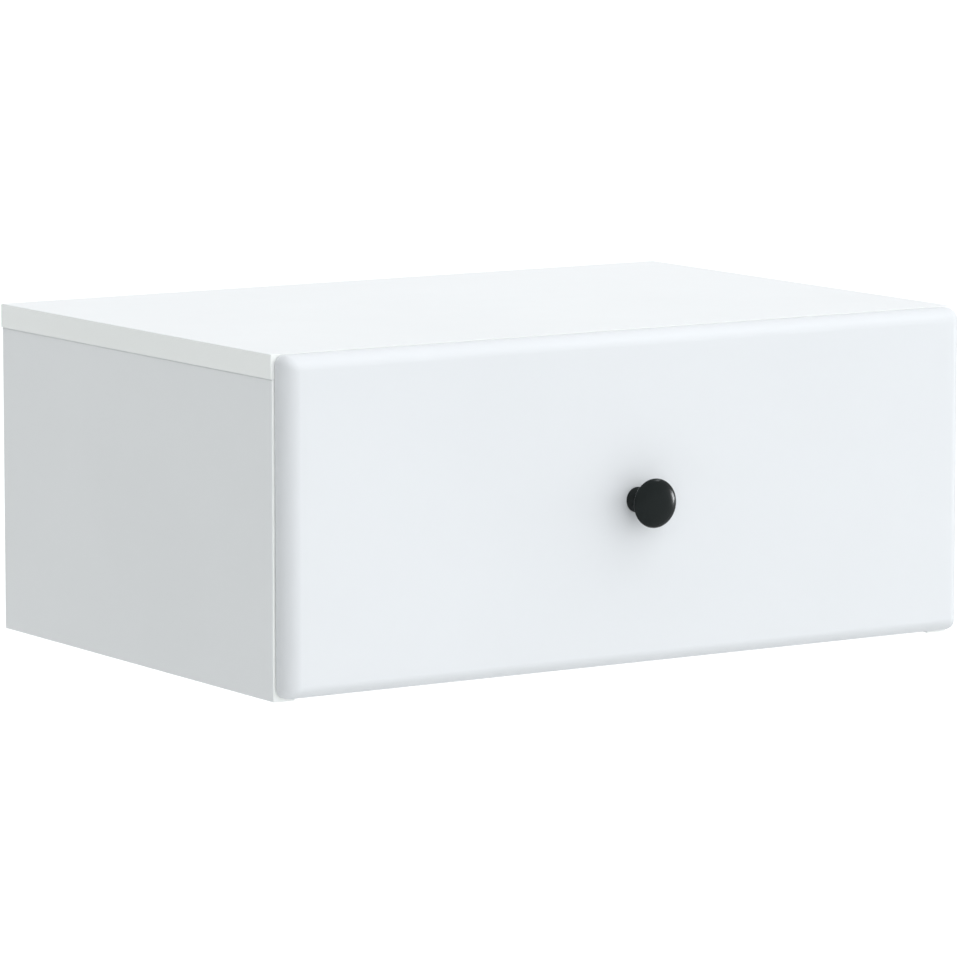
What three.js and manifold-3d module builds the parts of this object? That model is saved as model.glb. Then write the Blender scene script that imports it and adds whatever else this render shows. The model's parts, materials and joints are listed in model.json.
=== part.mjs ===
import * as THREE from 'three';
import { mergeVertices } from 'three/addons/utils/BufferGeometryUtils.js';
import Module from 'manifold-3d';

// Floating nightstand: a wall-hung cabinet with one drawer on roller runners.
// Millimetres, +Z up. X runs to the right as seen from the front, Y runs towards
// the wall. The origin is on the wall plane, in the middle of the width, at the
// height of the wall screws.

// Cabinet boards
const TOP_WIDTH = 600;
const CABINET_DEPTH = 400;
const CABINET_HEIGHT = 250;
const BOARD = 18;
const TOP_OVERHANG = 1;
const BOTTOM_RAISE = 5;
const RAIL_HEIGHT = 70;
const BACK_THICKNESS = 3;
const GROOVE_DEPTH = 6;
const GROOVE_SIDE_CLEARANCE = 0.25;
const GROOVE_END_CLEARANCE = 0.5;

// Holes in the hanging rail for the wall screws
const WALL_HOLE_FROM_SIDE = 81;
const WALL_HOLE_RADIUS = 3;
const WALL_SINK_RADIUS = 6;
const WALL_SINK_DEPTH = 3;

// Cam joints between the boards
const CAM_RADIUS = 7.2;
const CAM_CLEARANCE = 0.4;
const CAM_END_CLEARANCE = 0.5;
const CAM_FROM_EDGE = 34;
const CAM_CHANNEL_CLEARANCE = 0.5;
const CAM_CHANNEL_PAST_AXIS = 4;
const CAM_SLOT_LENGTH = 8;
const CAM_SLOT_WIDTH = 1.4;
const CAM_SLOT_DEPTH = 2;
const BOLT_HEAD_RADIUS = 3.4;
const BOLT_HEAD_LENGTH = 2.4;
const BOLT_HEAD_CLEARANCE = 0.35;
const BOLT_NECK_RADIUS = 2;
const BOLT_NECK_LENGTH = 8;
const BOLT_SHANK_RADIUS = 3.2;
const BOLT_THREAD_RADIUS = 2.6;
const BOLT_THREAD_LENGTH = 10.5;
const BOLT_THREAD_CLEARANCE = 0.35;
const CAM_INSET = 60;
const CAM_INSET_BOTTOM = 50;

// Roller runners: the space behind them, and how much of the open drawer's runner stays inside
const RUNNER_BEHIND = 48;
const RUNNER_OVERLAP = 85;
const RUNNER_GAP = 12.5;
const RUNNER_SETBACK = 2;
const RUNNER_ABOVE_FLOOR = 14;
const STEEL = 1.25;
const CHANNEL_CLEARANCE = 1.75;
const CHANNEL_LIP = 3;
const REAR_ROLLER_RADIUS = 11;
const ROLLER_EDGE = 0.8;
const ROLLER_BORE_CLEARANCE = 0.5;
const ROLLER_CLEARANCE = 0.3;
const ROLLER_FROM_END = 14;
const PIN_RADIUS = 2.4;
const PIN_HEAD_RADIUS = 4;
const PIN_HEAD_LENGTH = 0.6;
const PIN_HOLE_CLEARANCE = 0.4;
const PIN_TAIL_RECESS = 0.25;
const GLIDE_CLEARANCE = 1.25;
const GLIDE_HEADROOM = 0.75;
const DRAWER_SEAT = 4;
const STOP_HEIGHT = 4;
const STOP_LENGTH = 6;

// Screws that hold the runners
const RUNNER_SCREW_LENGTH = 15;
const RUNNER_SCREW_RADIUS = 1.75;
const RUNNER_SCREW_HEAD_RADIUS = 3.4;
const RUNNER_SCREW_HEAD_LENGTH = 2;
const RUNNER_SCREW_RECESS = 0.1;
const RUNNER_SCREW_FROM_FRONT = 37;
const RUNNER_SCREW_FROM_REAR = 91;
const DRAWER_SCREW_COVER = 1.25;
const DRAWER_SCREW_HEAD_RADIUS = 3.3;
const DRAWER_SCREW_HEAD_LENGTH = 1.1;
const SCREW_TIP = 3;
const SCREW_HOLE_CLEARANCE = 0.3;
const SCREW_TIP_CLEARANCE = 0.5;
const HEAD_CROWN_SHARE = 0.7;
const CROSS_LENGTH_SHARE = 1.1;
const CROSS_WIDTH = 0.8;
const CROSS_DEPTH = 0.7;

// Drawer box
const DRAWER_BOARD = 12;
const DRAWER_HEADROOM = 41;
const DRAWER_BOTTOM_THICKNESS = 3;
const DRAWER_BOTTOM_RAISE = 13;

// Drawer front and what fixes it
const FRONT_THICKNESS = 19;
const FRONT_GAP = 1.25;
const FRONT_SIDE_INSET = 1.5;
const FRONT_TOP_INSET = 0.5;
const FRONT_BOTTOM_INSET = 3;
const FRONT_CORNER_RADIUS = 7;
const FRONT_FACE_CORNER_RADIUS = 1;
const FRONT_ROUNDOVER = 10.5;
const FRONT_SCREW_FROM_SIDE = 64.5;
const FRONT_SCREW_COVER = 6;
const FRONT_SCREW_RADIUS = 2;
const FRONT_SCREW_HEAD_RADIUS = 4;
const FRONT_SCREW_HEAD_LENGTH = 2.4;
const PAD_RADIUS = 4.5;
const PAD_CLEARANCE = 0.25;
const PAD_BELOW_TOP = 14;

// Knob and its machine screw
const KNOB_BASE_RADIUS = 9.5;
const KNOB_BASE_LENGTH = 1.5;
const KNOB_NECK_RADIUS = 6.4;
const KNOB_NECK_FROM_FACE = 9;
const KNOB_NECK_LENGTH = 3;
const KNOB_HEAD_RADIUS = 18.25;
const KNOB_HEAD_BACK = 21;
const KNOB_RIM_FROM_FACE = 23;
const KNOB_LENGTH = 28;
const KNOB_BORE_CLEARANCE = 0.4;
const KNOB_BORE_DEPTH = 12;
const KNOB_SCREW_REACH = 9;
const KNOB_SCREW_RADIUS = 2;
const KNOB_SCREW_HEAD_RADIUS = 4.2;
const KNOB_SCREW_HEAD_LENGTH = 2.6;
const KNOB_SCREW_TIP = 0.6;

// One overrun serves every cut
const OVERRUN = 2;

// Sides and steps of the round shapes
const SMALL_ROUND_SIDES = 10;
const CAM_SIDES = 16;
const ROLLER_SIDES = 24;
const KNOB_SIDES = 32;
const KNOB_CURVE_STEPS = 5;
const CORNER_STEPS = 5;
const ROUNDOVER_STEPS = 7;

// Sizes that follow from those above
const CARCASS_WIDTH = TOP_WIDTH - 2 * TOP_OVERHANG;
const INNER_WIDTH = CARCASS_WIDTH - 2 * BOARD;
const FRONT_EDGE = -CABINET_DEPTH;
const SIDE_HEIGHT = CABINET_HEIGHT - BOARD;
const FLOOR_TOP = BOTTOM_RAISE + BOARD;
const RAIL_BOTTOM = SIDE_HEIGHT - RAIL_HEIGHT;
const WALL_SCREW_HEIGHT = RAIL_BOTTOM + RAIL_HEIGHT / 2;
const WALL_HOLE_X = INNER_WIDTH / 2 - WALL_HOLE_FROM_SIDE;
const BACK_MIDDLE = -BOARD / 2;
const GROOVE_WIDTH = BACK_THICKNESS + 2 * GROOVE_SIDE_CLEARANCE;
const CAM_BORE_RADIUS = CAM_RADIUS + CAM_CLEARANCE;
const CAM_BORE_DEPTH = BOARD / 2 + BOLT_HEAD_RADIUS + BOLT_HEAD_CLEARANCE;
const CAM_LENGTH = CAM_BORE_DEPTH - CAM_END_CLEARANCE;
const CAM_LID = BOARD / 2 - BOLT_HEAD_RADIUS - BOLT_HEAD_CLEARANCE;
const CAM_CHANNEL_WIDTH = 2 * (BOLT_HEAD_RADIUS + CAM_CHANNEL_CLEARANCE);
const BOLT_BORE_RADIUS = Math.max(BOLT_HEAD_RADIUS, BOLT_SHANK_RADIUS) + CAM_CLEARANCE;
const BOLT_HOLE_RADIUS = BOLT_THREAD_RADIUS + BOLT_THREAD_CLEARANCE;
const BOLT_HOLE_DEPTH = BOLT_THREAD_LENGTH + SCREW_TIP_CLEARANCE;
const RUNNER_LENGTH = CABINET_DEPTH - RUNNER_SETBACK - RUNNER_BEHIND;
const DRAWER_TRAVEL = RUNNER_LENGTH - RUNNER_OVERLAP;
const RUNNER_BASE = FLOOR_TOP + RUNNER_ABOVE_FLOOR;
const RUNNER_FRONT = FRONT_EDGE + RUNNER_SETBACK;
const RUNNER_REAR = RUNNER_FRONT + RUNNER_LENGTH;
const CHANNEL_INSIDE = 2 * (REAR_ROLLER_RADIUS + ROLLER_CLEARANCE);
const CHANNEL_HEIGHT = CHANNEL_INSIDE + 2 * STEEL;
const CHANNEL_FLANGE = RUNNER_GAP - STEEL - CHANNEL_CLEARANCE;
const GLIDE_REACH = RUNNER_GAP - STEEL - GLIDE_CLEARANCE;
const GLIDE_TOP = CHANNEL_HEIGHT - STEEL - GLIDE_HEADROOM;
const GLIDE_BOTTOM = GLIDE_TOP - STEEL;
const ROLLER_WIDTH = CHANNEL_FLANGE - 2 * STEEL - PIN_HEAD_LENGTH - 3 * ROLLER_CLEARANCE;
const ROLLER_BORE_RADIUS = PIN_RADIUS + ROLLER_BORE_CLEARANCE;
const PIN_HOLE_RADIUS = PIN_RADIUS + PIN_HOLE_CLEARANCE;
const FRONT_ROLLER_RADIUS = (GLIDE_BOTTOM - STEEL) / 2 - ROLLER_CLEARANCE;
const FRONT_ROLLER_AXIS = STEEL + ROLLER_CLEARANCE + FRONT_ROLLER_RADIUS;
const REAR_ROLLER_AXIS = STEEL + ROLLER_CLEARANCE + REAR_ROLLER_RADIUS;
const FRONT_BACK = FRONT_EDGE - FRONT_GAP;
const FRONT_FACE = FRONT_BACK - FRONT_THICKNESS;
const FRONT_WIDTH = CARCASS_WIDTH - 2 * FRONT_SIDE_INSET;
const FRONT_HEIGHT = CABINET_HEIGHT - FRONT_TOP_INSET - FRONT_BOTTOM_INSET;
const FRONT_MIDDLE = FRONT_BOTTOM_INSET + FRONT_HEIGHT / 2;
const DRAWER_WIDTH = INNER_WIDTH - 2 * RUNNER_GAP;
const DRAWER_INSIDE = DRAWER_WIDTH - 2 * DRAWER_BOARD;
const DRAWER_BASE = RUNNER_BASE + DRAWER_SEAT;
const DRAWER_TOP = SIDE_HEIGHT - DRAWER_HEADROOM;
const DRAWER_BACK = FRONT_BACK + RUNNER_LENGTH;
const DRAWER_SCREW_LENGTH = STEEL + DRAWER_BOARD - DRAWER_SCREW_COVER;
const FRONT_ROLLER_Y = RUNNER_FRONT + ROLLER_FROM_END;
const REAR_ROLLER_Y = DRAWER_BACK - ROLLER_FROM_END;
const REAR_COLLAR = RUNNER_GAP - CHANNEL_FLANGE;
const FRONT_SCREW_X = DRAWER_INSIDE / 2 - FRONT_SCREW_FROM_SIDE;
const FRONT_SCREW_LENGTH = DRAWER_BOARD + FRONT_THICKNESS - FRONT_SCREW_COVER;
const PAD_THICKNESS = FRONT_GAP - PAD_CLEARANCE;
const KNOB_SCREW_LENGTH = DRAWER_BOARD + FRONT_THICKNESS + KNOB_SCREW_REACH;
const KNOB_BORE_RADIUS = KNOB_SCREW_RADIUS + KNOB_BORE_CLEARANCE;

const ACROSS = new THREE.Vector3(1, 0, 0);
const TO_WALL = new THREE.Vector3(0, 1, 0);
const UP = new THREE.Vector3(0, 0, 1);
const SIDES = [['left', -1], ['right', 1]];

const wasm = await Module();
wasm.setup();

// Materials
const whiteBoard = new THREE.MeshStandardMaterial({ color: 0xf1f3f4, roughness: 0.45, metalness: 0 });
const whiteLacquer = new THREE.MeshStandardMaterial({ color: 0xf3f5f7, roughness: 0.35, metalness: 0 });
const backBoard = new THREE.MeshStandardMaterial({ color: 0xeceeee, roughness: 0.6, metalness: 0 });
const runnerPaint = new THREE.MeshStandardMaterial({ color: 0xe9eaea, roughness: 0.4, metalness: 0.1 });
const nylon = new THREE.MeshStandardMaterial({ color: 0xf4f4f0, roughness: 0.5, metalness: 0 });
const zinc = new THREE.MeshStandardMaterial({ color: 0xb4b6b8, roughness: 0.45, metalness: 0.9 });
const steel = new THREE.MeshStandardMaterial({ color: 0xc4c6c8, roughness: 0.35, metalness: 0.95 });
const padPlastic = new THREE.MeshStandardMaterial({ color: 0xdfe3e3, roughness: 0.7, metalness: 0 });
const knobBlack = new THREE.MeshStandardMaterial({ color: 0x202424, roughness: 0.4, metalness: 0 });

// Shape helpers

function toSolid(geometry) {
  const bare = geometry.clone();
  bare.deleteAttribute('normal');
  bare.deleteAttribute('uv');
  const merged = mergeVertices(bare);
  const mesh = new wasm.Mesh({
    numProp: 3,
    vertProperties: new Float32Array(merged.getAttribute('position').array),
    triVerts: new Uint32Array(merged.getIndex().array),
  });
  return new wasm.Manifold(mesh);
}

function toGeometry(solid) {
  const { vertProperties, triVerts } = solid.getMesh();
  const geometry = new THREE.BufferGeometry();
  geometry.setAttribute('position', new THREE.BufferAttribute(vertProperties, 3));
  geometry.setIndex(new THREE.BufferAttribute(triVerts, 1));
  return geometry;
}

// The body with the cutters taken out of it and the additions joined on
function carve(body, cutters, additions = []) {
  let solid = toSolid(body);
  for (const addition of additions) {
    solid = solid.add(toSolid(addition));
  }
  for (const cutter of cutters) {
    solid = solid.subtract(toSolid(cutter));
  }
  return toGeometry(solid);
}

function place(name, geometry, material, position = new THREE.Vector3()) {
  const mesh = new THREE.Mesh(geometry, material);
  mesh.name = name;
  mesh.position.copy(position);
  return mesh;
}

// A block between two corners, in the coordinates of the group that holds it
function block(low, high) {
  const size = high.clone().sub(low);
  const middle = low.clone().add(high).multiplyScalar(0.5);
  return new THREE.BoxGeometry(size.x, size.y, size.z).translate(middle.x, middle.y, middle.z);
}

// A round bar from one point to another
function bar(radius, from, to, sides = SMALL_ROUND_SIDES) {
  const way = to.clone().sub(from);
  const middle = from.clone().add(to).multiplyScalar(0.5);
  const turn = new THREE.Quaternion().setFromUnitVectors(TO_WALL, way.clone().normalize());
  return new THREE.CylinderGeometry(radius, radius, way.length(), sides)
    .applyQuaternion(turn)
    .translate(middle.x, middle.y, middle.z);
}

// A turned piece about its own Z axis, from [radius, height] pairs that rise from the axis
function turned(profile, sides) {
  const points = profile.map(([radius, height]) => new THREE.Vector2(radius, height));
  return new THREE.LatheGeometry(points, sides).rotateX(Math.PI / 2);
}

// A board between two corners, with its own origin in its middle
function board(name, low, high, material, cutters = []) {
  const middle = low.clone().add(high).multiplyScalar(0.5);
  let geometry = block(low, high);
  if (cutters.length > 0) {
    geometry = carve(geometry, cutters);
  }
  return place(name, geometry.translate(-middle.x, -middle.y, -middle.z), material, middle);
}

function at(x, y, z) {
  return new THREE.Vector3(x, y, z);
}

// Cam joints: a bolt screwed into one board, and a cam in the other that pulls on its head

function camGeometry() {
  const body = bar(CAM_RADIUS, at(0, 0, -CAM_LENGTH), at(0, 0, 0), CAM_SIDES);
  const channel = block(
    at(-CAM_CHANNEL_PAST_AXIS, -CAM_CHANNEL_WIDTH / 2, -CAM_LENGTH - OVERRUN),
    at(CAM_RADIUS + OVERRUN, CAM_CHANNEL_WIDTH / 2, -CAM_LID),
  );
  const slots = crossSlots(CAM_SLOT_LENGTH, CAM_SLOT_WIDTH, CAM_SLOT_DEPTH, 0);
  return carve(body, [channel, ...slots]);
}

// Two crossed slots sunk into a face that looks along +Z at the given height
function crossSlots(length, width, depth, height) {
  const top = height + OVERRUN;
  return [
    block(at(-length / 2, -width / 2, height - depth), at(length / 2, width / 2, top)),
    block(at(-width / 2, -length / 2, height - depth), at(width / 2, length / 2, top)),
  ];
}

// The bolt lies along its own +Z, with the middle of its head at the origin
function camBoltGeometry() {
  const headEnd = BOLT_HEAD_LENGTH / 2;
  const neckEnd = headEnd + BOLT_NECK_LENGTH;
  const tip = CAM_FROM_EDGE + BOLT_THREAD_LENGTH;
  return turned([
    [0, -headEnd],
    [BOLT_HEAD_RADIUS, -headEnd],
    [BOLT_HEAD_RADIUS, headEnd],
    [BOLT_NECK_RADIUS, headEnd],
    [BOLT_NECK_RADIUS, neckEnd],
    [BOLT_SHANK_RADIUS, neckEnd],
    [BOLT_SHANK_RADIUS, CAM_FROM_EDGE],
    [BOLT_THREAD_RADIUS, CAM_FROM_EDGE],
    [BOLT_THREAD_RADIUS, tip],
    [0, tip],
  ], SMALL_ROUND_SIDES);
}

const camShape = camGeometry();
const camBoltShape = camBoltGeometry();

// One cam joint. The head of its bolt is at the given point, boltWay is the way that the
// bolt points and faceWay the way that the open face of the cam looks.
function camJoint(label, head, boltWay, faceWay) {
  const face = head.clone().addScaledVector(faceWay, BOARD / 2);
  const edge = head.clone().addScaledVector(boltWay, CAM_FROM_EDGE);
  const cam = place(`cam_lock_${label}`, camShape, zinc, face);
  const sideWay = faceWay.clone().cross(boltWay);
  cam.quaternion.setFromRotationMatrix(new THREE.Matrix4().makeBasis(boltWay, sideWay, faceWay));
  const bolt = place(`cam_bolt_${label}`, camBoltShape, steel, head);
  bolt.quaternion.setFromUnitVectors(UP, boltWay);
  return {
    meshes: [cam, bolt],
    camCuts: [
      bar(
        CAM_BORE_RADIUS,
        face.clone().addScaledVector(faceWay, -CAM_BORE_DEPTH),
        face.clone().addScaledVector(faceWay, OVERRUN),
        CAM_SIDES,
      ),
      bar(BOLT_BORE_RADIUS, head, edge.clone().addScaledVector(boltWay, OVERRUN)),
    ],
    boltCuts: [
      bar(
        BOLT_HOLE_RADIUS,
        edge.clone().addScaledVector(boltWay, -OVERRUN),
        edge.clone().addScaledVector(boltWay, BOLT_HOLE_DEPTH),
      ),
    ],
  };
}

const camJoints = {
  top: { left: [], right: [] },
  bottom: { left: [], right: [] },
  rail: { left: [], right: [] },
};

for (const [side, sign] of SIDES) {
  const outward = ACROSS.clone().multiplyScalar(sign);
  const inward = outward.clone().negate();
  const sideMiddle = sign * (CARCASS_WIDTH - BOARD) / 2;
  const camColumn = sign * (INNER_WIDTH / 2 - CAM_FROM_EDGE);
  for (const [row, y] of [['front', FRONT_EDGE + CAM_INSET], ['rear', -CAM_INSET]]) {
    camJoints.top[side].push(camJoint(
      `top_${side}_${row}`,
      at(sideMiddle, y, SIDE_HEIGHT - CAM_FROM_EDGE),
      UP,
      inward,
    ));
  }
  for (const [row, y] of [['front', FRONT_EDGE + CAM_INSET_BOTTOM], ['rear', -CAM_INSET_BOTTOM]]) {
    camJoints.bottom[side].push(camJoint(
      `bottom_${side}_${row}`,
      at(camColumn, y, BOTTOM_RAISE + BOARD / 2),
      outward,
      UP.clone().negate(),
    ));
  }
  camJoints.rail[side].push(camJoint(
    `rail_${side}`,
    at(camColumn, BACK_MIDDLE, WALL_SCREW_HEIGHT),
    outward,
    TO_WALL.clone().negate(),
  ));
}

const everySide = (joints) => [...joints.left, ...joints.right];
const camCuts = (joints) => joints.flatMap((joint) => joint.camCuts);
const boltCuts = (joints) => joints.flatMap((joint) => joint.boltCuts);

// Screws: each lies along its own +Z, with its head's seat, or a sunk head's top, at the origin

function panScrew(radius, length, headRadius, headLength, tip = SCREW_TIP) {
  const body = turned([
    [0, -headLength],
    [headRadius * HEAD_CROWN_SHARE, -headLength],
    [headRadius, -headLength / 2],
    [headRadius, 0],
    [radius, 0],
    [radius, length - tip],
    [0, length],
  ], SMALL_ROUND_SIDES);
  return crossHeaded(body, headRadius, -headLength);
}

// The outline of a sunk screw, or of its hole where a clearance is added
function sunkOutline(clearance, length, tip) {
  return [
    [RUNNER_SCREW_HEAD_RADIUS + clearance, 0],
    [RUNNER_SCREW_RADIUS + clearance, RUNNER_SCREW_HEAD_LENGTH],
    [RUNNER_SCREW_RADIUS + clearance, length - tip],
    [0, length],
  ];
}

function sunkScrew() {
  const outline = [[0, 0], ...sunkOutline(0, RUNNER_SCREW_LENGTH, SCREW_TIP)];
  return crossHeaded(turned(outline, SMALL_ROUND_SIDES), RUNNER_SCREW_HEAD_RADIUS, 0);
}

// The hole runs out past the head, so that it opens the face that the screw is sunk in
function sunkScrewHole() {
  const mouth = RUNNER_SCREW_HEAD_RADIUS + SCREW_HOLE_CLEARANCE;
  const depth = RUNNER_SCREW_LENGTH + SCREW_TIP_CLEARANCE;
  return turned([
    [0, -OVERRUN],
    [mouth, -OVERRUN],
    ...sunkOutline(SCREW_HOLE_CLEARANCE, depth, 0),
  ], SMALL_ROUND_SIDES);
}

// The cross recess of a screw whose head's face looks along -Z at the given height
function crossHeaded(body, headRadius, height) {
  const slots = crossSlots(headRadius * CROSS_LENGTH_SHARE, CROSS_WIDTH, CROSS_DEPTH, -height)
    .map((slot) => slot.rotateX(Math.PI));
  return carve(body, slots);
}

// Roller runners. Sections are drawn from the side panel's inner face: the first value is the
// distance from that face towards the drawer, the second the height above the runner's base.

function section(points, sign) {
  return new THREE.Shape(points.map(([fromPanel, height]) => new THREE.Vector2(-sign * fromPanel, height)));
}

// An extruded section with its rear end at y = 0 and its front end at y = -length
function profileBody(points, sign, length) {
  const options = { depth: length, bevelEnabled: false };
  return new THREE.ExtrudeGeometry(section(points, sign), options).rotateX(Math.PI / 2);
}

const stopMiddle = REAR_ROLLER_Y - DRAWER_TRAVEL;
const stopReach = Math.sqrt(
  (REAR_ROLLER_RADIUS + ROLLER_CLEARANCE) ** 2 - (REAR_ROLLER_RADIUS + ROLLER_CLEARANCE - STOP_HEIGHT) ** 2,
);
const stopRear = stopMiddle - stopReach - ROLLER_CLEARANCE;
const runnerScrewPlaces = [
  ['front', FRONT_EDGE + RUNNER_SCREW_FROM_FRONT],
  ['rear', RUNNER_REAR - RUNNER_SCREW_FROM_REAR],
];
const sunkHole = sunkScrewHole();

// Where a side panel's inner face is, and the turn that lays a screw's +Z outwards or inwards
const panelFace = (sign) => sign * INNER_WIDTH / 2;
const layAcross = (sign) => new THREE.Quaternion().setFromUnitVectors(UP, at(sign, 0, 0));

function runnerScrewHoles(sign) {
  const headTop = panelFace(sign) - sign * (STEEL - RUNNER_SCREW_RECESS);
  return runnerScrewPlaces.map(([, y]) => sunkHole.clone()
    .applyQuaternion(layAcross(sign))
    .translate(headTop, y, RUNNER_BASE + CHANNEL_HEIGHT / 2));
}

function cabinetRunner(side, sign) {
  const body = profileBody([
    [0, 0],
    [CHANNEL_FLANGE, 0],
    [CHANNEL_FLANGE, CHANNEL_LIP],
    [CHANNEL_FLANGE - STEEL, CHANNEL_LIP],
    [CHANNEL_FLANGE - STEEL, STEEL],
    [STEEL, STEEL],
    [STEEL, CHANNEL_HEIGHT - STEEL],
    [CHANNEL_FLANGE, CHANNEL_HEIGHT - STEEL],
    [CHANNEL_FLANGE, CHANNEL_HEIGHT],
    [0, CHANNEL_HEIGHT],
  ], sign, RUNNER_LENGTH);
  const origin = at(panelFace(sign), RUNNER_REAR, RUNNER_BASE);
  const toOwn = (geometry) => geometry.translate(-origin.x, -origin.y, -origin.z);
  const pinHole = bar(
    PIN_HOLE_RADIUS,
    at(origin.x + sign * OVERRUN, FRONT_ROLLER_Y, RUNNER_BASE + FRONT_ROLLER_AXIS),
    at(origin.x - sign * (STEEL + OVERRUN), FRONT_ROLLER_Y, RUNNER_BASE + FRONT_ROLLER_AXIS),
  );
  const inner = origin.x - sign * STEEL / 2;
  const outer = origin.x - sign * (CHANNEL_FLANGE - STEEL / 2);
  const stop = block(
    at(Math.min(inner, outer), stopRear - STOP_LENGTH, RUNNER_BASE + STEEL / 2),
    at(Math.max(inner, outer), stopRear, RUNNER_BASE + STEEL + STOP_HEIGHT),
  );
  const cutters = [pinHole, ...runnerScrewHoles(sign)].map(toOwn);
  return place(`cabinet_runner_${side}`, carve(body, cutters, [toOwn(stop)]), runnerPaint, origin);
}

function drawerRunner(side, sign) {
  const web = RUNNER_GAP - STEEL;
  const body = profileBody([
    [web, DRAWER_SEAT - STEEL],
    [RUNNER_GAP + DRAWER_BOARD, DRAWER_SEAT - STEEL],
    [RUNNER_GAP + DRAWER_BOARD, DRAWER_SEAT],
    [RUNNER_GAP, DRAWER_SEAT],
    [RUNNER_GAP, GLIDE_TOP],
    [RUNNER_GAP - GLIDE_REACH, GLIDE_TOP],
    [RUNNER_GAP - GLIDE_REACH, GLIDE_BOTTOM],
    [web, GLIDE_BOTTOM],
  ], sign, RUNNER_LENGTH);
  const origin = at(panelFace(sign), DRAWER_BACK, RUNNER_BASE);
  const toOwn = (geometry) => geometry.translate(-origin.x, -origin.y, -origin.z);
  const webFrom = origin.x - sign * (web - OVERRUN);
  const webTo = origin.x - sign * (RUNNER_GAP + OVERRUN);
  const pinHole = bar(
    PIN_HOLE_RADIUS,
    at(webFrom, REAR_ROLLER_Y, RUNNER_BASE + REAR_ROLLER_AXIS),
    at(webTo, REAR_ROLLER_Y, RUNNER_BASE + REAR_ROLLER_AXIS),
  );
  const screwHoles = runnerScrewPlaces.map(([, y]) => bar(
    RUNNER_SCREW_RADIUS + SCREW_HOLE_CLEARANCE,
    at(webFrom, y, RUNNER_BASE + CHANNEL_HEIGHT / 2),
    at(webTo, y, RUNNER_BASE + CHANNEL_HEIGHT / 2),
  ));
  // The glide ends ahead of the rear roller
  const glideFrom = origin.x;
  const glideTo = origin.x - sign * web;
  const notchFront = REAR_ROLLER_Y - REAR_ROLLER_RADIUS - OVERRUN;
  const notch = block(
    at(Math.min(glideFrom, glideTo), notchFront, RUNNER_BASE + GLIDE_BOTTOM - OVERRUN),
    at(Math.max(glideFrom, glideTo), DRAWER_BACK + OVERRUN, RUNNER_BASE + GLIDE_TOP + OVERRUN),
  );
  const cutters = [pinHole, ...screwHoles, notch].map(toOwn);
  return place(`drawer_runner_${side}`, carve(body, cutters), runnerPaint, origin);
}

// A nylon roller about its own Z axis, centred on the origin
function rollerGeometry(radius) {
  const half = ROLLER_WIDTH / 2;
  return turned([
    [ROLLER_BORE_RADIUS, -half],
    [radius - ROLLER_EDGE, -half],
    [radius, -half + ROLLER_EDGE],
    [radius, half - ROLLER_EDGE],
    [radius - ROLLER_EDGE, half],
    [ROLLER_BORE_RADIUS, half],
    [ROLLER_BORE_RADIUS, -half],
  ], ROLLER_SIDES);
}

// A rivet pin along its own +Z: its tail starts at the origin, a collar may keep the roller
// off the steel, and its head ends it
function pinGeometry(collarLength) {
  const tail = STEEL - PIN_TAIL_RECESS;
  const collarEnd = tail + collarLength;
  const collar = collarLength > 0 ? [[PIN_HEAD_RADIUS, tail], [PIN_HEAD_RADIUS, collarEnd]] : [];
  const shoulder = collarEnd + 2 * ROLLER_CLEARANCE + ROLLER_WIDTH;
  return turned([
    [0, 0],
    [PIN_RADIUS, 0],
    [PIN_RADIUS, tail],
    ...collar,
    ...(collarLength > 0 ? [[PIN_RADIUS, collarEnd]] : []),
    [PIN_RADIUS, shoulder],
    [PIN_HEAD_RADIUS, shoulder],
    [PIN_HEAD_RADIUS, shoulder + PIN_HEAD_LENGTH],
    [0, shoulder + PIN_HEAD_LENGTH],
  ], SMALL_ROUND_SIDES);
}

const frontRollerShape = rollerGeometry(FRONT_ROLLER_RADIUS);
const rearRollerShape = rollerGeometry(REAR_ROLLER_RADIUS);
const frontPinShape = pinGeometry(0);
const rearPinShape = pinGeometry(REAR_COLLAR);
const rollerMiddle = STEEL + ROLLER_CLEARANCE + ROLLER_WIDTH / 2;

function frontRoller(side, sign) {
  const z = RUNNER_BASE + FRONT_ROLLER_AXIS;
  const roller = place(
    `front_roller_${side}`,
    frontRollerShape,
    nylon,
    at(panelFace(sign) - sign * rollerMiddle, FRONT_ROLLER_Y, z),
  );
  roller.quaternion.copy(layAcross(sign));
  const pin = place(
    `front_roller_pin_${side}`,
    frontPinShape,
    steel,
    at(panelFace(sign) - sign * PIN_TAIL_RECESS, FRONT_ROLLER_Y, z),
  );
  pin.quaternion.copy(layAcross(-sign));
  return [roller, pin];
}

function rearRoller(side, sign) {
  const z = RUNNER_BASE + REAR_ROLLER_AXIS;
  const webFace = panelFace(sign) - sign * RUNNER_GAP;
  const roller = place(
    `rear_roller_${side}`,
    rearRollerShape,
    nylon,
    at(webFace + sign * (REAR_COLLAR + rollerMiddle), REAR_ROLLER_Y, z),
  );
  roller.quaternion.copy(layAcross(sign));
  const pin = place(
    `rear_roller_pin_${side}`,
    rearPinShape,
    steel,
    at(webFace + sign * PIN_TAIL_RECESS, REAR_ROLLER_Y, z),
  );
  pin.quaternion.copy(layAcross(sign));
  return [roller, pin];
}

const sunkScrewShape = sunkScrew();
const drawerScrewShape = panScrew(
  RUNNER_SCREW_RADIUS,
  DRAWER_SCREW_LENGTH,
  DRAWER_SCREW_HEAD_RADIUS,
  DRAWER_SCREW_HEAD_LENGTH,
);

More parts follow.
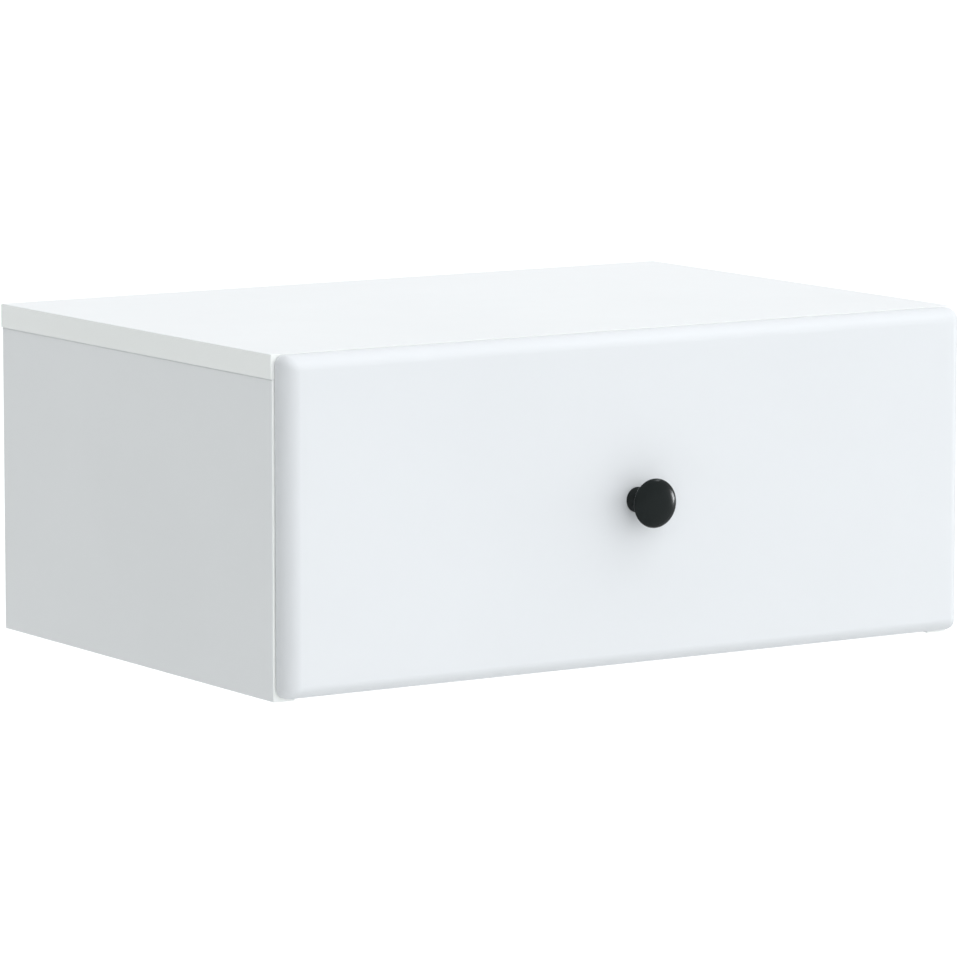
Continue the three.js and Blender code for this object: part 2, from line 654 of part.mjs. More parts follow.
function cabinetRunnerScrews(side, sign) {
  const headTop = panelFace(sign) - sign * (STEEL - RUNNER_SCREW_RECESS);
  return runnerScrewPlaces.map(([row, y]) => {
    const screw = place(
      `cabinet_runner_screw_${side}_${row}`,
      sunkScrewShape,
      steel,
      at(headTop, y, RUNNER_BASE + CHANNEL_HEIGHT / 2),
    );
    screw.quaternion.copy(layAcross(sign));
    return screw;
  });
}

function drawerRunnerScrews(side, sign) {
  const seat = panelFace(sign) - sign * (RUNNER_GAP - STEEL);
  return runnerScrewPlaces.map(([row, y]) => {
    const screw = place(
      `drawer_runner_screw_${side}_${row}`,
      drawerScrewShape,
      steel,
      at(seat, y, RUNNER_BASE + CHANNEL_HEIGHT / 2),
    );
    screw.quaternion.copy(layAcross(-sign));
    return screw;
  });
}

// Cabinet boards

const grooveFront = BACK_MIDDLE - GROOVE_WIDTH / 2;
const grooveBack = BACK_MIDDLE + GROOVE_WIDTH / 2;
const grooveLow = FLOOR_TOP - GROOVE_DEPTH;
const grooveHigh = RAIL_BOTTOM + GROOVE_DEPTH;

function topPanel() {
  return board(
    'top_panel',
    at(-TOP_WIDTH / 2, FRONT_EDGE, SIDE_HEIGHT),
    at(TOP_WIDTH / 2, 0, CABINET_HEIGHT),
    whiteBoard,
    boltCuts(everySide(camJoints.top)),
  );
}

function sidePanel(side, sign) {
  const inner = sign * INNER_WIDTH / 2;
  const outer = sign * CARCASS_WIDTH / 2;
  const grooveEnd = inner + sign * GROOVE_DEPTH;
  const mouth = inner - sign * OVERRUN;
  const groove = block(
    at(Math.min(mouth, grooveEnd), grooveFront, grooveLow),
    at(Math.max(mouth, grooveEnd), grooveBack, grooveHigh),
  );
  return board(
    `side_panel_${side}`,
    at(Math.min(inner, outer), FRONT_EDGE, 0),
    at(Math.max(inner, outer), 0, SIDE_HEIGHT),
    whiteBoard,
    [
      ...camCuts(camJoints.top[side]),
      ...boltCuts(camJoints.bottom[side]),
      ...boltCuts(camJoints.rail[side]),
      ...runnerScrewHoles(sign),
      groove,
    ],
  );
}

function bottomPanel() {
  const groove = block(
    at(-INNER_WIDTH / 2 - OVERRUN, grooveFront, grooveLow),
    at(INNER_WIDTH / 2 + OVERRUN, grooveBack, FLOOR_TOP + OVERRUN),
  );
  return board(
    'bottom_panel',
    at(-INNER_WIDTH / 2, FRONT_EDGE, BOTTOM_RAISE),
    at(INNER_WIDTH / 2, 0, FLOOR_TOP),
    whiteBoard,
    [...camCuts(everySide(camJoints.bottom)), groove],
  );
}

function backPanel() {
  const halfWidth = INNER_WIDTH / 2 + GROOVE_DEPTH - GROOVE_END_CLEARANCE;
  return board(
    'back_panel',
    at(-halfWidth, BACK_MIDDLE - BACK_THICKNESS / 2, grooveLow + GROOVE_END_CLEARANCE),
    at(halfWidth, BACK_MIDDLE + BACK_THICKNESS / 2, grooveHigh - GROOVE_END_CLEARANCE),
    backBoard,
  );
}

// The rail carries the wall screws through two countersunk holes
function hangingRail() {
  const groove = block(
    at(-INNER_WIDTH / 2 - OVERRUN, grooveFront, RAIL_BOTTOM - OVERRUN),
    at(INNER_WIDTH / 2 + OVERRUN, grooveBack, grooveHigh),
  );
  const wallHoles = [-1, 1].flatMap((sign) => {
    const x = sign * WALL_HOLE_X;
    const hole = bar(
      WALL_HOLE_RADIUS,
      at(x, -BOARD - OVERRUN, WALL_SCREW_HEIGHT),
      at(x, OVERRUN, WALL_SCREW_HEIGHT),
    );
    const sink = turned([
      [0, -OVERRUN],
      [WALL_SINK_RADIUS, -OVERRUN],
      [WALL_SINK_RADIUS, 0],
      [WALL_HOLE_RADIUS, WALL_SINK_DEPTH],
      [0, WALL_SINK_DEPTH],
    ], SMALL_ROUND_SIDES).rotateX(-Math.PI / 2).translate(x, -BOARD, WALL_SCREW_HEIGHT);
    return [hole, sink];
  });
  return board(
    'hanging_rail',
    at(-INNER_WIDTH / 2, -BOARD, RAIL_BOTTOM),
    at(INNER_WIDTH / 2, 0, SIDE_HEIGHT),
    whiteBoard,
    [...camCuts(everySide(camJoints.rail)), groove, ...wallHoles],
  );
}

// Drawer box: two sides, a box front and a box back, with a thin bottom in grooves

const bottomLow = DRAWER_BASE + DRAWER_BOTTOM_RAISE;
const bottomHigh = bottomLow + DRAWER_BOTTOM_THICKNESS;
const bottomGrooveLow = bottomLow - GROOVE_SIDE_CLEARANCE;
const bottomGrooveHigh = bottomHigh + GROOVE_SIDE_CLEARANCE;
const frontScrewPlaces = SIDES.map(([side, sign]) => [side, sign * FRONT_SCREW_X]);

// The space that the grooves give the drawer's bottom
function drawerBottomGroove() {
  const halfWidth = DRAWER_INSIDE / 2 + GROOVE_DEPTH;
  return block(
    at(-halfWidth, FRONT_BACK + DRAWER_BOARD - GROOVE_DEPTH, bottomGrooveLow),
    at(halfWidth, DRAWER_BACK - DRAWER_BOARD + GROOVE_DEPTH, bottomGrooveHigh),
  );
}

function drawerSide(side, sign) {
  const inner = sign * DRAWER_INSIDE / 2;
  const outer = sign * DRAWER_WIDTH / 2;
  const holeEnd = DRAWER_SCREW_LENGTH - STEEL + SCREW_TIP_CLEARANCE;
  const screwHoles = runnerScrewPlaces.map(([, y]) => bar(
    RUNNER_SCREW_RADIUS + SCREW_HOLE_CLEARANCE,
    at(outer + sign * OVERRUN, y, RUNNER_BASE + CHANNEL_HEIGHT / 2),
    at(outer - sign * holeEnd, y, RUNNER_BASE + CHANNEL_HEIGHT / 2),
  ));
  return board(
    `drawer_side_${side}`,
    at(Math.min(inner, outer), FRONT_BACK, DRAWER_BASE),
    at(Math.max(inner, outer), DRAWER_BACK, DRAWER_TOP),
    whiteBoard,
    [drawerBottomGroove(), ...screwHoles],
  );
}

function drawerBoxFront() {
  const from = FRONT_BACK - OVERRUN;
  const to = FRONT_BACK + DRAWER_BOARD + OVERRUN;
  const screwHoles = frontScrewPlaces.map(([, x]) => bar(
    FRONT_SCREW_RADIUS + SCREW_HOLE_CLEARANCE,
    at(x, from, FRONT_MIDDLE),
    at(x, to, FRONT_MIDDLE),
  ));
  const knobHole = bar(
    KNOB_SCREW_RADIUS + SCREW_HOLE_CLEARANCE,
    at(0, from, FRONT_MIDDLE),
    at(0, to, FRONT_MIDDLE),
  );
  return board(
    'drawer_box_front',
    at(-DRAWER_INSIDE / 2, FRONT_BACK, DRAWER_BASE),
    at(DRAWER_INSIDE / 2, FRONT_BACK + DRAWER_BOARD, DRAWER_TOP),
    whiteBoard,
    [drawerBottomGroove(), ...screwHoles, knobHole],
  );
}

function drawerBoxBack() {
  return board(
    'drawer_box_back',
    at(-DRAWER_INSIDE / 2, DRAWER_BACK - DRAWER_BOARD, DRAWER_BASE),
    at(DRAWER_INSIDE / 2, DRAWER_BACK, DRAWER_TOP),
    whiteBoard,
    [drawerBottomGroove()],
  );
}

function drawerBottom() {
  const halfWidth = DRAWER_INSIDE / 2 + GROOVE_DEPTH - GROOVE_END_CLEARANCE;
  const grooveFloor = DRAWER_BOARD - GROOVE_DEPTH + GROOVE_END_CLEARANCE;
  return board(
    'drawer_bottom',
    at(-halfWidth, FRONT_BACK + grooveFloor, bottomLow),
    at(halfWidth, DRAWER_BACK - grooveFloor, bottomHigh),
    backBoard,
  );
}

// Drawer front: a slab with rounded corners whose front edges are rounded over. It is built
// from rings about its own Z axis, which points out of its back.

function roundedRing(halfWidth, halfHeight, radius, depth) {
  const points = [];
  const corners = [[1, 1, 0], [-1, 1, 1], [-1, -1, 2], [1, -1, 3]];
  for (const [signX, signY, quarter] of corners) {
    for (let step = 0; step <= CORNER_STEPS; step += 1) {
      const angle = (quarter + step / CORNER_STEPS) * Math.PI / 2;
      points.push([
        signX * (halfWidth - radius) + radius * Math.cos(angle),
        signY * (halfHeight - radius) + radius * Math.sin(angle),
        depth,
      ]);
    }
  }
  return points;
}

function ringSlab(rings) {
  const count = rings[0].length;
  const positions = rings.flat(2);
  const faces = [];
  for (let ring = 0; ring < rings.length - 1; ring += 1) {
    for (let i = 0; i < count; i += 1) {
      const next = (i + 1) % count;
      const low = ring * count;
      const high = low + count;
      faces.push(low + i, low + next, high + next, low + i, high + next, high + i);
    }
  }
  const last = (rings.length - 1) * count;
  for (let i = 1; i < count - 1; i += 1) {
    faces.push(0, i + 1, i);
    faces.push(last, last + i, last + i + 1);
  }
  const geometry = new THREE.BufferGeometry();
  geometry.setAttribute('position', new THREE.Float32BufferAttribute(positions, 3));
  geometry.setIndex(faces);
  return geometry;
}

function drawerFrontBody() {
  const halfWidth = FRONT_WIDTH / 2;
  const halfHeight = FRONT_HEIGHT / 2;
  const rings = [roundedRing(halfWidth, halfHeight, FRONT_CORNER_RADIUS, 0)];
  for (let step = 0; step <= ROUNDOVER_STEPS; step += 1) {
    const share = step / ROUNDOVER_STEPS;
    const angle = share * Math.PI / 2;
    const inset = FRONT_ROUNDOVER * (1 - Math.cos(angle));
    const depth = FRONT_THICKNESS - FRONT_ROUNDOVER * (1 - Math.sin(angle));
    const insetShare = inset / FRONT_ROUNDOVER;
    const radius = FRONT_CORNER_RADIUS + (FRONT_FACE_CORNER_RADIUS - FRONT_CORNER_RADIUS) * insetShare;
    rings.push(roundedRing(halfWidth - inset, halfHeight - inset, radius, depth));
  }
  return ringSlab(rings).rotateX(Math.PI / 2);
}

function drawerFront() {
  const screwDepth = FRONT_SCREW_LENGTH - DRAWER_BOARD + SCREW_TIP_CLEARANCE;
  const screwHoles = frontScrewPlaces.map(([, x]) => bar(
    FRONT_SCREW_RADIUS + SCREW_HOLE_CLEARANCE,
    at(x, OVERRUN, 0),
    at(x, -screwDepth, 0),
  ));
  const knobHole = bar(
    KNOB_SCREW_RADIUS + SCREW_HOLE_CLEARANCE,
    at(0, OVERRUN, 0),
    at(0, -FRONT_THICKNESS - OVERRUN, 0),
  );
  const geometry = carve(drawerFrontBody(), [...screwHoles, knobHole]);
  return place('drawer_front', geometry, whiteLacquer, at(0, FRONT_BACK, FRONT_MIDDLE));
}

// The screws and pads on the back of the drawer front

const frontScrewShape = panScrew(
  FRONT_SCREW_RADIUS,
  FRONT_SCREW_LENGTH,
  FRONT_SCREW_HEAD_RADIUS,
  FRONT_SCREW_HEAD_LENGTH,
);
const knobScrewShape = panScrew(
  KNOB_SCREW_RADIUS,
  KNOB_SCREW_LENGTH,
  KNOB_SCREW_HEAD_RADIUS,
  KNOB_SCREW_HEAD_LENGTH,
  KNOB_SCREW_TIP,
);

function screwFromInside(name, shape, x) {
  const screw = place(name, shape, steel, at(x, FRONT_BACK + DRAWER_BOARD, FRONT_MIDDLE));
  screw.rotation.x = Math.PI / 2;
  return screw;
}

function bumperPad(side, sign) {
  const shape = bar(PAD_RADIUS, at(0, 0, 0), at(0, PAD_THICKNESS, 0), CAM_SIDES);
  const x = sign * (CARCASS_WIDTH - BOARD) / 2;
  return place(`bumper_pad_${side}`, shape, padPlastic, at(x, FRONT_BACK, SIDE_HEIGHT - PAD_BELOW_TOP));
}

// The knob is turned in one piece: a foot, a drawn-in neck and a domed head
function knob() {
  const outline = new THREE.Path();
  outline.moveTo(KNOB_BORE_RADIUS, 0);
  outline.lineTo(KNOB_BASE_RADIUS, 0);
  outline.lineTo(KNOB_BASE_RADIUS, KNOB_BASE_LENGTH);
  outline.quadraticCurveTo(
    KNOB_NECK_RADIUS,
    (KNOB_BASE_LENGTH + KNOB_NECK_FROM_FACE) / 2,
    KNOB_NECK_RADIUS,
    KNOB_NECK_FROM_FACE,
  );
  outline.lineTo(KNOB_NECK_RADIUS, KNOB_NECK_FROM_FACE + KNOB_NECK_LENGTH);
  outline.quadraticCurveTo(
    KNOB_NECK_RADIUS,
    KNOB_HEAD_BACK,
    (KNOB_NECK_RADIUS + KNOB_HEAD_RADIUS) / 2,
    KNOB_HEAD_BACK,
  );
  outline.quadraticCurveTo(KNOB_HEAD_RADIUS, KNOB_HEAD_BACK, KNOB_HEAD_RADIUS, KNOB_RIM_FROM_FACE);
  outline.quadraticCurveTo(KNOB_HEAD_RADIUS, KNOB_LENGTH, 0, KNOB_LENGTH);
  const skin = outline.getPoints(KNOB_CURVE_STEPS).map((point) => [point.x, point.y]);
  const shape = turned([
    [0, KNOB_BORE_DEPTH],
    [KNOB_BORE_RADIUS, KNOB_BORE_DEPTH],
    ...skin,
  ], KNOB_SIDES);
  const mesh = place('knob', shape, knobBlack, at(0, FRONT_FACE, FRONT_MIDDLE));
  mesh.rotation.x = Math.PI / 2;
  return mesh;
}

// The whole nightstand

const cabinet = new THREE.Group();
const drawer = new THREE.Group();

cabinet.add(topPanel(), bottomPanel(), backPanel(), hangingRail());
for (const joints of Object.values(camJoints)) {
  cabinet.add(...everySide(joints).flatMap((joint) => joint.meshes));
}
drawer.add(
  drawerFront(),
  drawerBoxFront(),
  drawerBoxBack(),
  drawerBottom(),
  knob(),
  screwFromInside('knob_screw', knobScrewShape, 0),
);
for (const [side, x] of frontScrewPlaces) {
  drawer.add(screwFromInside(`drawer_front_screw_${side}`, frontScrewShape, x));
}
for (const [side, sign] of SIDES) {
  cabinet.add(
    sidePanel(side, sign),
    cabinetRunner(side, sign),
    ...frontRoller(side, sign),
    ...cabinetRunnerScrews(side, sign),
  );
  drawer.add(
    drawerSide(side, sign),
    drawerRunner(side, sign),
    ...rearRoller(side, sign),
    ...drawerRunnerScrews(side, sign),
    bumperPad(side, sign),
  );
}

const nightstand = new THREE.Group();
nightstand.add(cabinet, drawer);
nightstand.position.z = -WALL_SCREW_HEIGHT;

export default nightstand;
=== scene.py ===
"""Floating nightstand: finishes, fine shapes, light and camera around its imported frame.

Metres, in the part's own frame: X to the right seen from the front, Y towards the wall, Z up.
"""

import json
import math

import bmesh
import bpy
from mathutils import Matrix, Vector


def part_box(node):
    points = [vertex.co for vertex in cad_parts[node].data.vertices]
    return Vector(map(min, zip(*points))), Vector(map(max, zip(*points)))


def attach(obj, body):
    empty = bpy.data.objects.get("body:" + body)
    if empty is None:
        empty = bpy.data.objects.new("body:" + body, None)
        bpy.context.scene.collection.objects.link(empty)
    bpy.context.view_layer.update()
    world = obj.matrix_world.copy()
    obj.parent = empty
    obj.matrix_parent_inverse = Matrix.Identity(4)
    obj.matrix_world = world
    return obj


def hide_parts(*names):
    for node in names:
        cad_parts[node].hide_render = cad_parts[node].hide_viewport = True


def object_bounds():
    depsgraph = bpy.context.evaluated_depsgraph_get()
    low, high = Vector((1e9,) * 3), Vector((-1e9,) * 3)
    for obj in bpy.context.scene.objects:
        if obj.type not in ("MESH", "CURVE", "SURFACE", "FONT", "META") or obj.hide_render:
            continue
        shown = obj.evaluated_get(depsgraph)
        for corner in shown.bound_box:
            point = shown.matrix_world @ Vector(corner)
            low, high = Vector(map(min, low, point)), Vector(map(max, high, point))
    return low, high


MM = 0.001
DEGREE = math.pi / 180

# Cabinet boards
BOARD = 18 * MM
BOARD_ARRIS = 0.5 * MM
THIN_BOARD_ARRIS = 0.25 * MM
BAND_SLOPE = 0.7
ARRIS_STEPS = 3
ROUND_PROFILE = 0.5
SIDE_CORNER_RADIUS = 0.6 * MM
SIDE_FACE_CORNER_RADIUS = 0.15 * MM
SIDE_OUTER_ARRIS = 1.2 * MM
SIDE_ARRIS_STEPS = 6
GROOVE_DEPTH = 6 * MM
GROOVE_WIDTH = 3.5 * MM
RAIL_SCREW_X = 200 * MM
WALL_HOLE_RADIUS = 3 * MM
WALL_SINK_RADIUS = 6 * MM
WALL_SINK_DEPTH = 3 * MM

# Cam joints
CAM_RADIUS = 7.2 * MM
CAM_LENGTH = 12.25 * MM
CAM_EDGE = 0.35 * MM
CAM_BORE_RADIUS = 7.6 * MM
CAM_BORE_DEPTH = 12.75 * MM
CAM_FROM_EDGE = 34 * MM
CAM_LID = 5.25 * MM
CAM_CHANNEL_WIDTH = 7.8 * MM
CAM_CHANNEL_PAST_AXIS = 4 * MM
CAM_SLOT_LENGTH = 8 * MM
CAM_SLOT_WIDTH = 1.4 * MM
CAM_SLOT_DEPTH = 2 * MM
BOLT_HEAD_RADIUS = 3.4 * MM
BOLT_HEAD_LENGTH = 2.4 * MM
BOLT_NECK_RADIUS = 2 * MM
BOLT_NECK_LENGTH = 8 * MM
BOLT_SHANK_RADIUS = 3.2 * MM
BOLT_THREAD_RADIUS = 2.6 * MM
BOLT_THREAD_LENGTH = 10.5 * MM
BOLT_THREAD_DEPTH = 0.5 * MM
BOLT_PITCH = 1.6 * MM
BOLT_BORE_RADIUS = 3.8 * MM
BOLT_HOLE_RADIUS = 2.95 * MM
BOLT_HOLE_DEPTH = 11 * MM

# Screws
SCREW_TIP = 3 * MM
SCREW_PITCH = 1.4 * MM
SCREW_THREAD_DEPTH = 0.4 * MM
RUNNER_SCREW_RADIUS = 1.75 * MM
RUNNER_SCREW_LENGTH = 15 * MM
RUNNER_SCREW_HEAD_RADIUS = 3.4 * MM
RUNNER_SCREW_HEAD_LENGTH = 2 * MM
DRAWER_SCREW_LENGTH = 12 * MM
DRAWER_SCREW_HEAD_RADIUS = 3.3 * MM
DRAWER_SCREW_HEAD_LENGTH = 1.1 * MM
FRONT_SCREW_RADIUS = 2 * MM
FRONT_SCREW_LENGTH = 25 * MM
FRONT_SCREW_HEAD_RADIUS = 4 * MM
FRONT_SCREW_HEAD_LENGTH = 2.4 * MM
KNOB_SCREW_LENGTH = 40 * MM
KNOB_SCREW_HEAD_RADIUS = 4.2 * MM
KNOB_SCREW_HEAD_LENGTH = 2.6 * MM
KNOB_SCREW_TIP = 0.6 * MM
KNOB_SCREW_PITCH = 0.7 * MM
KNOB_SCREW_THREAD_DEPTH = 0.3 * MM
HOLE_CLEARANCE = 0.3 * MM
TIP_CLEARANCE = 0.5 * MM
RUNNER_HOLE_RADIUS = RUNNER_SCREW_RADIUS + HOLE_CLEARANCE
FRONT_HOLE_RADIUS = FRONT_SCREW_RADIUS + HOLE_CLEARANCE
PAN_RIM_SHARE = 0.35
CROSS_LENGTH_SHARE = 1.1
CROSS_WIDTH = 0.8 * MM
CROSS_DEPTH = 0.7 * MM

# Roller runners
STEEL = 1.25 * MM
BEND_RADIUS = 0.6 * MM
SHEET_EDGE = 0.2 * MM
BEND_STEPS = 5
RUNNER_GAP = 12.5 * MM
CHANNEL_LIP = 3 * MM
DRAWER_SEAT = 4 * MM
STOP_HEIGHT = 4 * MM
STOP_LENGTH = 6 * MM
PIN_RADIUS = 2.4 * MM
PIN_HEAD_RADIUS = 4 * MM
PIN_HEAD_LENGTH = 0.6 * MM
PIN_HEAD_EDGE = 0.7 * PIN_HEAD_LENGTH
PIN_TAIL = 1 * MM
PIN_HOLE_RADIUS = 2.8 * MM
ROLLER_BORE_RADIUS = 2.9 * MM
ROLLER_EDGE = 0.8 * MM
ROLLER_CLEARANCE = 0.3 * MM

# Drawer front, its pads and its knob
FRONT_CORNER_RADIUS = 7 * MM
FRONT_FACE_CORNER_RADIUS = 1 * MM
FRONT_ROUNDOVER = 10.5 * MM
FRONT_ROUNDOVER_DEPTH = 14 * MM
FRONT_BACK_ARRIS = 0.4 * MM
ROUNDOVER_STEPS = 24
CORNER_STEPS = 14
PAD_EDGE = 0.45 * MM
KNOB_BASE_RADIUS = 9.5 * MM
KNOB_BASE_LENGTH = 1.5 * MM
KNOB_BASE_EDGE = 0.4 * MM
KNOB_NECK_RADIUS = 6.4 * MM
KNOB_NECK_FROM_FACE = 9 * MM
KNOB_NECK_LENGTH = 3 * MM
KNOB_HEAD_RADIUS = 18.25 * MM
KNOB_HEAD_BACK = 21 * MM
KNOB_RIM_FROM_FACE = 23 * MM
KNOB_LENGTH = 28 * MM
KNOB_BORE_RADIUS = 2.4 * MM
KNOB_BORE_DEPTH = 12 * MM

# How finely round shapes are made
KNOB_SIDES = 128
KNOB_CURVE_STEPS = 20
ROLLER_SIDES = 96
CAM_SIDES = 64
SCREW_SIDES = 32
HOLE_SIDES = 40
EDGE_STEPS = 4
PAN_HEAD_STEPS = 8
SHARP_ANGLE = 34 * DEGREE

# One overrun serves every cut
OVERRUN = 2 * MM

# Camera, fitted to the photograph
CAMERA_PLACE = Vector((-2.5618, -4.1940, 0.5650))
CAMERA_YAW = 32.723 * DEGREE
CAMERA_PITCH = -7.759 * DEGREE
CAMERA_LENS_MM = 235.60
CAMERA_SENSOR_MM = 36
CAMERA_REACH = 400

# Light. The lamps are far suns, wide for soft shadows and left out of gloss, so that no flat
# face clips at a grazing view. The softboxes show only in gloss.
AMBIENT = 0.215
AMBIENT_COLOUR = (0.97, 1.0, 0.95)
LAMP_COLOUR = (0.98, 1.0, 1.025)
TOP_LAMP_COLOUR = (0.98, 1.0, 1.04)
MAIN_LIGHT_WAY = Vector((0.45, -0.88, 0.10))
MAIN_LIGHT_POWER = 2.5
MAIN_LIGHT_SPREAD = 120 * DEGREE
TOP_LIGHT_WAY = Vector((0.10, 0.15, 0.98))
TOP_LIGHT_POWER = 1.67
TOP_LIGHT_SPREAD = 90 * DEGREE
FILL_LIGHT_WAY = Vector((-0.50, -0.85, 0.20))
FILL_LIGHT_POWER = 0.75
FILL_LIGHT_SPREAD = 50 * DEGREE
SIDE_LIGHT_WAY = Vector((0.98, 0.15, 0.12))
SIDE_LIGHT_POWER = 0.45
SIDE_LIGHT_SPREAD = 90 * DEGREE
SIDE_BOX_PLACE = Vector((2.42, -1.36, -0.12))
SIDE_BOX_SIZE = (0.5, 0.6)
SIDE_BOX_POWER = 32
HIGH_BOX_PLACE = Vector((1.32, -0.91, 1.62))
HIGH_BOX_SIZE = (0.35, 1.0)
HIGH_BOX_POWER = 10
FLOOR_DROP = 0.6
FLOOR_REACH = 80
FLOOR_COLOUR = (0.775, 0.78, 0.775)
FLOOR_GLOW = 0.35

# The part of a noise's range over which a colour changes
CLOUD_SPREAD = (0.35, 0.65)
GRAIN_SPREAD = (0.3, 0.7)
DUST_SPREAD = (0.3, 0.8)

# Which of a piece's materials a face takes, where it isn't the first
CORE_MATERIAL = 1
BAND_MATERIAL = 2

X = Vector((1, 0, 0))
Y = Vector((0, 1, 0))
Z = Vector((0, 0, 1))
ALONG_X = 0
ALONG_Y = 1
SIDES = (("left", -1), ("right", 1))
ROWS = ("front", "rear")
FRONT_SCREWS = [f"drawer_front_screw_{side}" for side, _ in SIDES]

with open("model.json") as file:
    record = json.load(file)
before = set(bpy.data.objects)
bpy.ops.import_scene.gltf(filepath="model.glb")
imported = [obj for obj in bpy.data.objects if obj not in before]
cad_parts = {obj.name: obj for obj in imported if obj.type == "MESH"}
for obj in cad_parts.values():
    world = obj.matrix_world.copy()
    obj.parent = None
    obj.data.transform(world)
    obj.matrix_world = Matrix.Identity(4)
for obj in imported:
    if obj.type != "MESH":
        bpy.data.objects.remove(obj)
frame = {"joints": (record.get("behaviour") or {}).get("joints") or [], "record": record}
frame_low, frame_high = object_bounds()


def corners(node):
    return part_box(node)


def middle(node):
    low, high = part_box(node)
    return (low + high) / 2


def inner_x(node, sign):
    """Where the face of a node lies that looks towards the middle of the cabinet."""
    low, high = corners(node)
    return low.x if sign > 0 else high.x


def outer_x(node, sign):
    """Where the face of a node lies that looks away from the middle of the cabinet."""
    low, high = corners(node)
    return high.x if sign > 0 else low.x


# Shape helpers: solids are bmeshes, and profiles are lists of (radius, height) pairs


def lathe(profile, sides):
    """A solid turned about its own Z axis. A profile that ends where it starts makes a ring."""
    solid = bmesh.new()
    closed = profile[0] == profile[-1]
    rings = []
    for radius, height in profile[:-1] if closed else profile:
        if radius == 0:
            rings.append([solid.verts.new((0, 0, height))])
            continue
        turn = 2 * math.pi / sides
        rings.append([
            solid.verts.new((radius * math.cos(turn * i), radius * math.sin(turn * i), height))
            for i in range(sides)
        ])
    if closed:
        rings.append(rings[0])
    for low, high in zip(rings, rings[1:]):
        for i in range(sides):
            following = (i + 1) % sides
            quad = (
                low[i % len(low)],
                low[following % len(low)],
                high[following % len(high)],
                high[i % len(high)],
            )
            solid.faces.new(tuple(dict.fromkeys(quad)))
    bmesh.ops.recalc_face_normals(solid, faces=solid.faces)
    return solid


def rounded(points, steps=EDGE_STEPS):
    """An outline from (x, y, radius) corners, each corner rounded by its radius."""
    outline = []
    for index, (x, y, radius) in enumerate(points):
        corner = Vector((x, y))
        if radius == 0:
            outline.append((x, y))
            continue
        before = Vector(points[index - 1][:2])
        after = Vector(points[(index + 1) % len(points)][:2])
        to_before = (before - corner).normalized()
        to_after = (after - corner).normalized()
        half = to_before.angle(to_after) / 2
        reach = radius / math.tan(half)
        centre = corner + (to_before + to_after).normalized() * radius / math.sin(half)
        start = corner + to_before * reach - centre
        end = corner + to_after * reach - centre
        sweep = start.angle_signed(end)
        for step in range(steps + 1):
            arm = start.copy()
            arm.rotate(Matrix.Rotation(-sweep * step / steps, 2))
            outline.append(tuple(centre + arm))
    return outline


def stack(rings):
    """A solid from rings of points, each joined to the next, with the first and the last closed."""
    solid = bmesh.new()
    loops = [[solid.verts.new(point) for point in ring] for ring in rings]
    for below, above in zip(loops, loops[1:]):
        for i in range(len(below)):
            following = (i + 1) % len(below)
            solid.faces.new((below[i], below[following], above[following], above[i]))
    solid.faces.new(loops[0])
    solid.faces.new(loops[-1])
    bmesh.ops.recalc_face_normals(solid, faces=solid.faces)
    return solid


def prism(outline, to_world, length):
    """A solid with the outline as its section, pushed along its own Z axis."""
    rings = [[(x, y, height) for x, y in outline] for height in (0, length)]
    return moved(stack(rings), to_world)


def block(low, high, arris=0):
    """A block between two corners, with its arrises rounded."""
    solid = bmesh.new()
    bmesh.ops.create_cube(solid, size=1)
    scale = Matrix.Diagonal((*(high - low), 1))
    bmesh.ops.transform(solid, matrix=Matrix.Translation((low + high) / 2) @ scale, verts=solid.verts)
    if arris:
        bmesh.ops.bevel(
            solid,
            geom=solid.edges[:],
            offset=arris,
            segments=ARRIS_STEPS,
            profile=ROUND_PROFILE,
            affect="EDGES",
        )
    return solid


def rounded_ring(half_width, half_height, radius, depth, steps):
    """The points of a rectangle with round corners, at a height."""
    points = []
    for quarter, (sign_x, sign_y) in enumerate(((1, 1), (-1, 1), (-1, -1), (1, -1))):
        for step in range(steps + 1):
            angle = (quarter + step / steps) * math.pi / 2
            points.append((
                sign_x * (half_width - radius) + radius * math.cos(angle),
                sign_y * (half_height - radius) + radius * math.sin(angle),
                depth,
            ))
    return points


def slab(half_width, half_height, thickness, corner, face_corner, back_arris, face_arris, face_depth,
         steps, corner_steps):
    """A slab about its own Z axis, with its back at 0. The arris round its back is round, the one
    round its face a quarter of an ellipse, and its corners draw in from one radius to the other."""
    levels = []
    for step in range(ARRIS_STEPS + 1):
        angle = step / ARRIS_STEPS * math.pi / 2
        levels.append((back_arris * (1 - math.sin(angle)), back_arris * (1 - math.cos(angle))))
    for step in range(steps + 1):
        angle = step / steps * math.pi / 2
        levels.append((face_arris * (1 - math.cos(angle)), thickness - face_depth * (1 - math.sin(angle))))
    rings = []
    for inset, depth in levels:
        radius = corner - inset * (corner - face_corner) / face_arris
        rings.append(rounded_ring(half_width - inset, half_height - inset, radius, depth, corner_steps))
    return stack(rings)


def spanning(first, second):
    """The lowest and the highest corner of the block that two points span."""
    low = Vector(min(a, b) for a, b in zip(first, second))
    high = Vector(max(a, b) for a, b in zip(first, second))
    return low, high


def lay(start, way):
    """The matrix that puts a piece's origin at start and its Z axis along way."""
    return Matrix.Translation(start) @ Z.rotation_difference(way).to_matrix().to_4x4()


def moved(solid, matrix):
    bmesh.ops.transform(solid, matrix=matrix, verts=solid.verts)
    return solid


def drill(radius, start, end, sides=HOLE_SIDES):
    """A plain round cutter from one point to another."""
    way = end - start
    body = lathe([(0, 0), (radius, 0), (radius, way.length), (0, way.length)], sides)
    return moved(body, lay(start, way))


def drill_along(axis, radius, through, start, end):
    """A plain round cutter along one axis and through a point, from start to end on that axis."""
    first = through.copy()
    first[axis] = start
    last = through.copy()
    last[axis] = end
    return drill(radius, first, last)


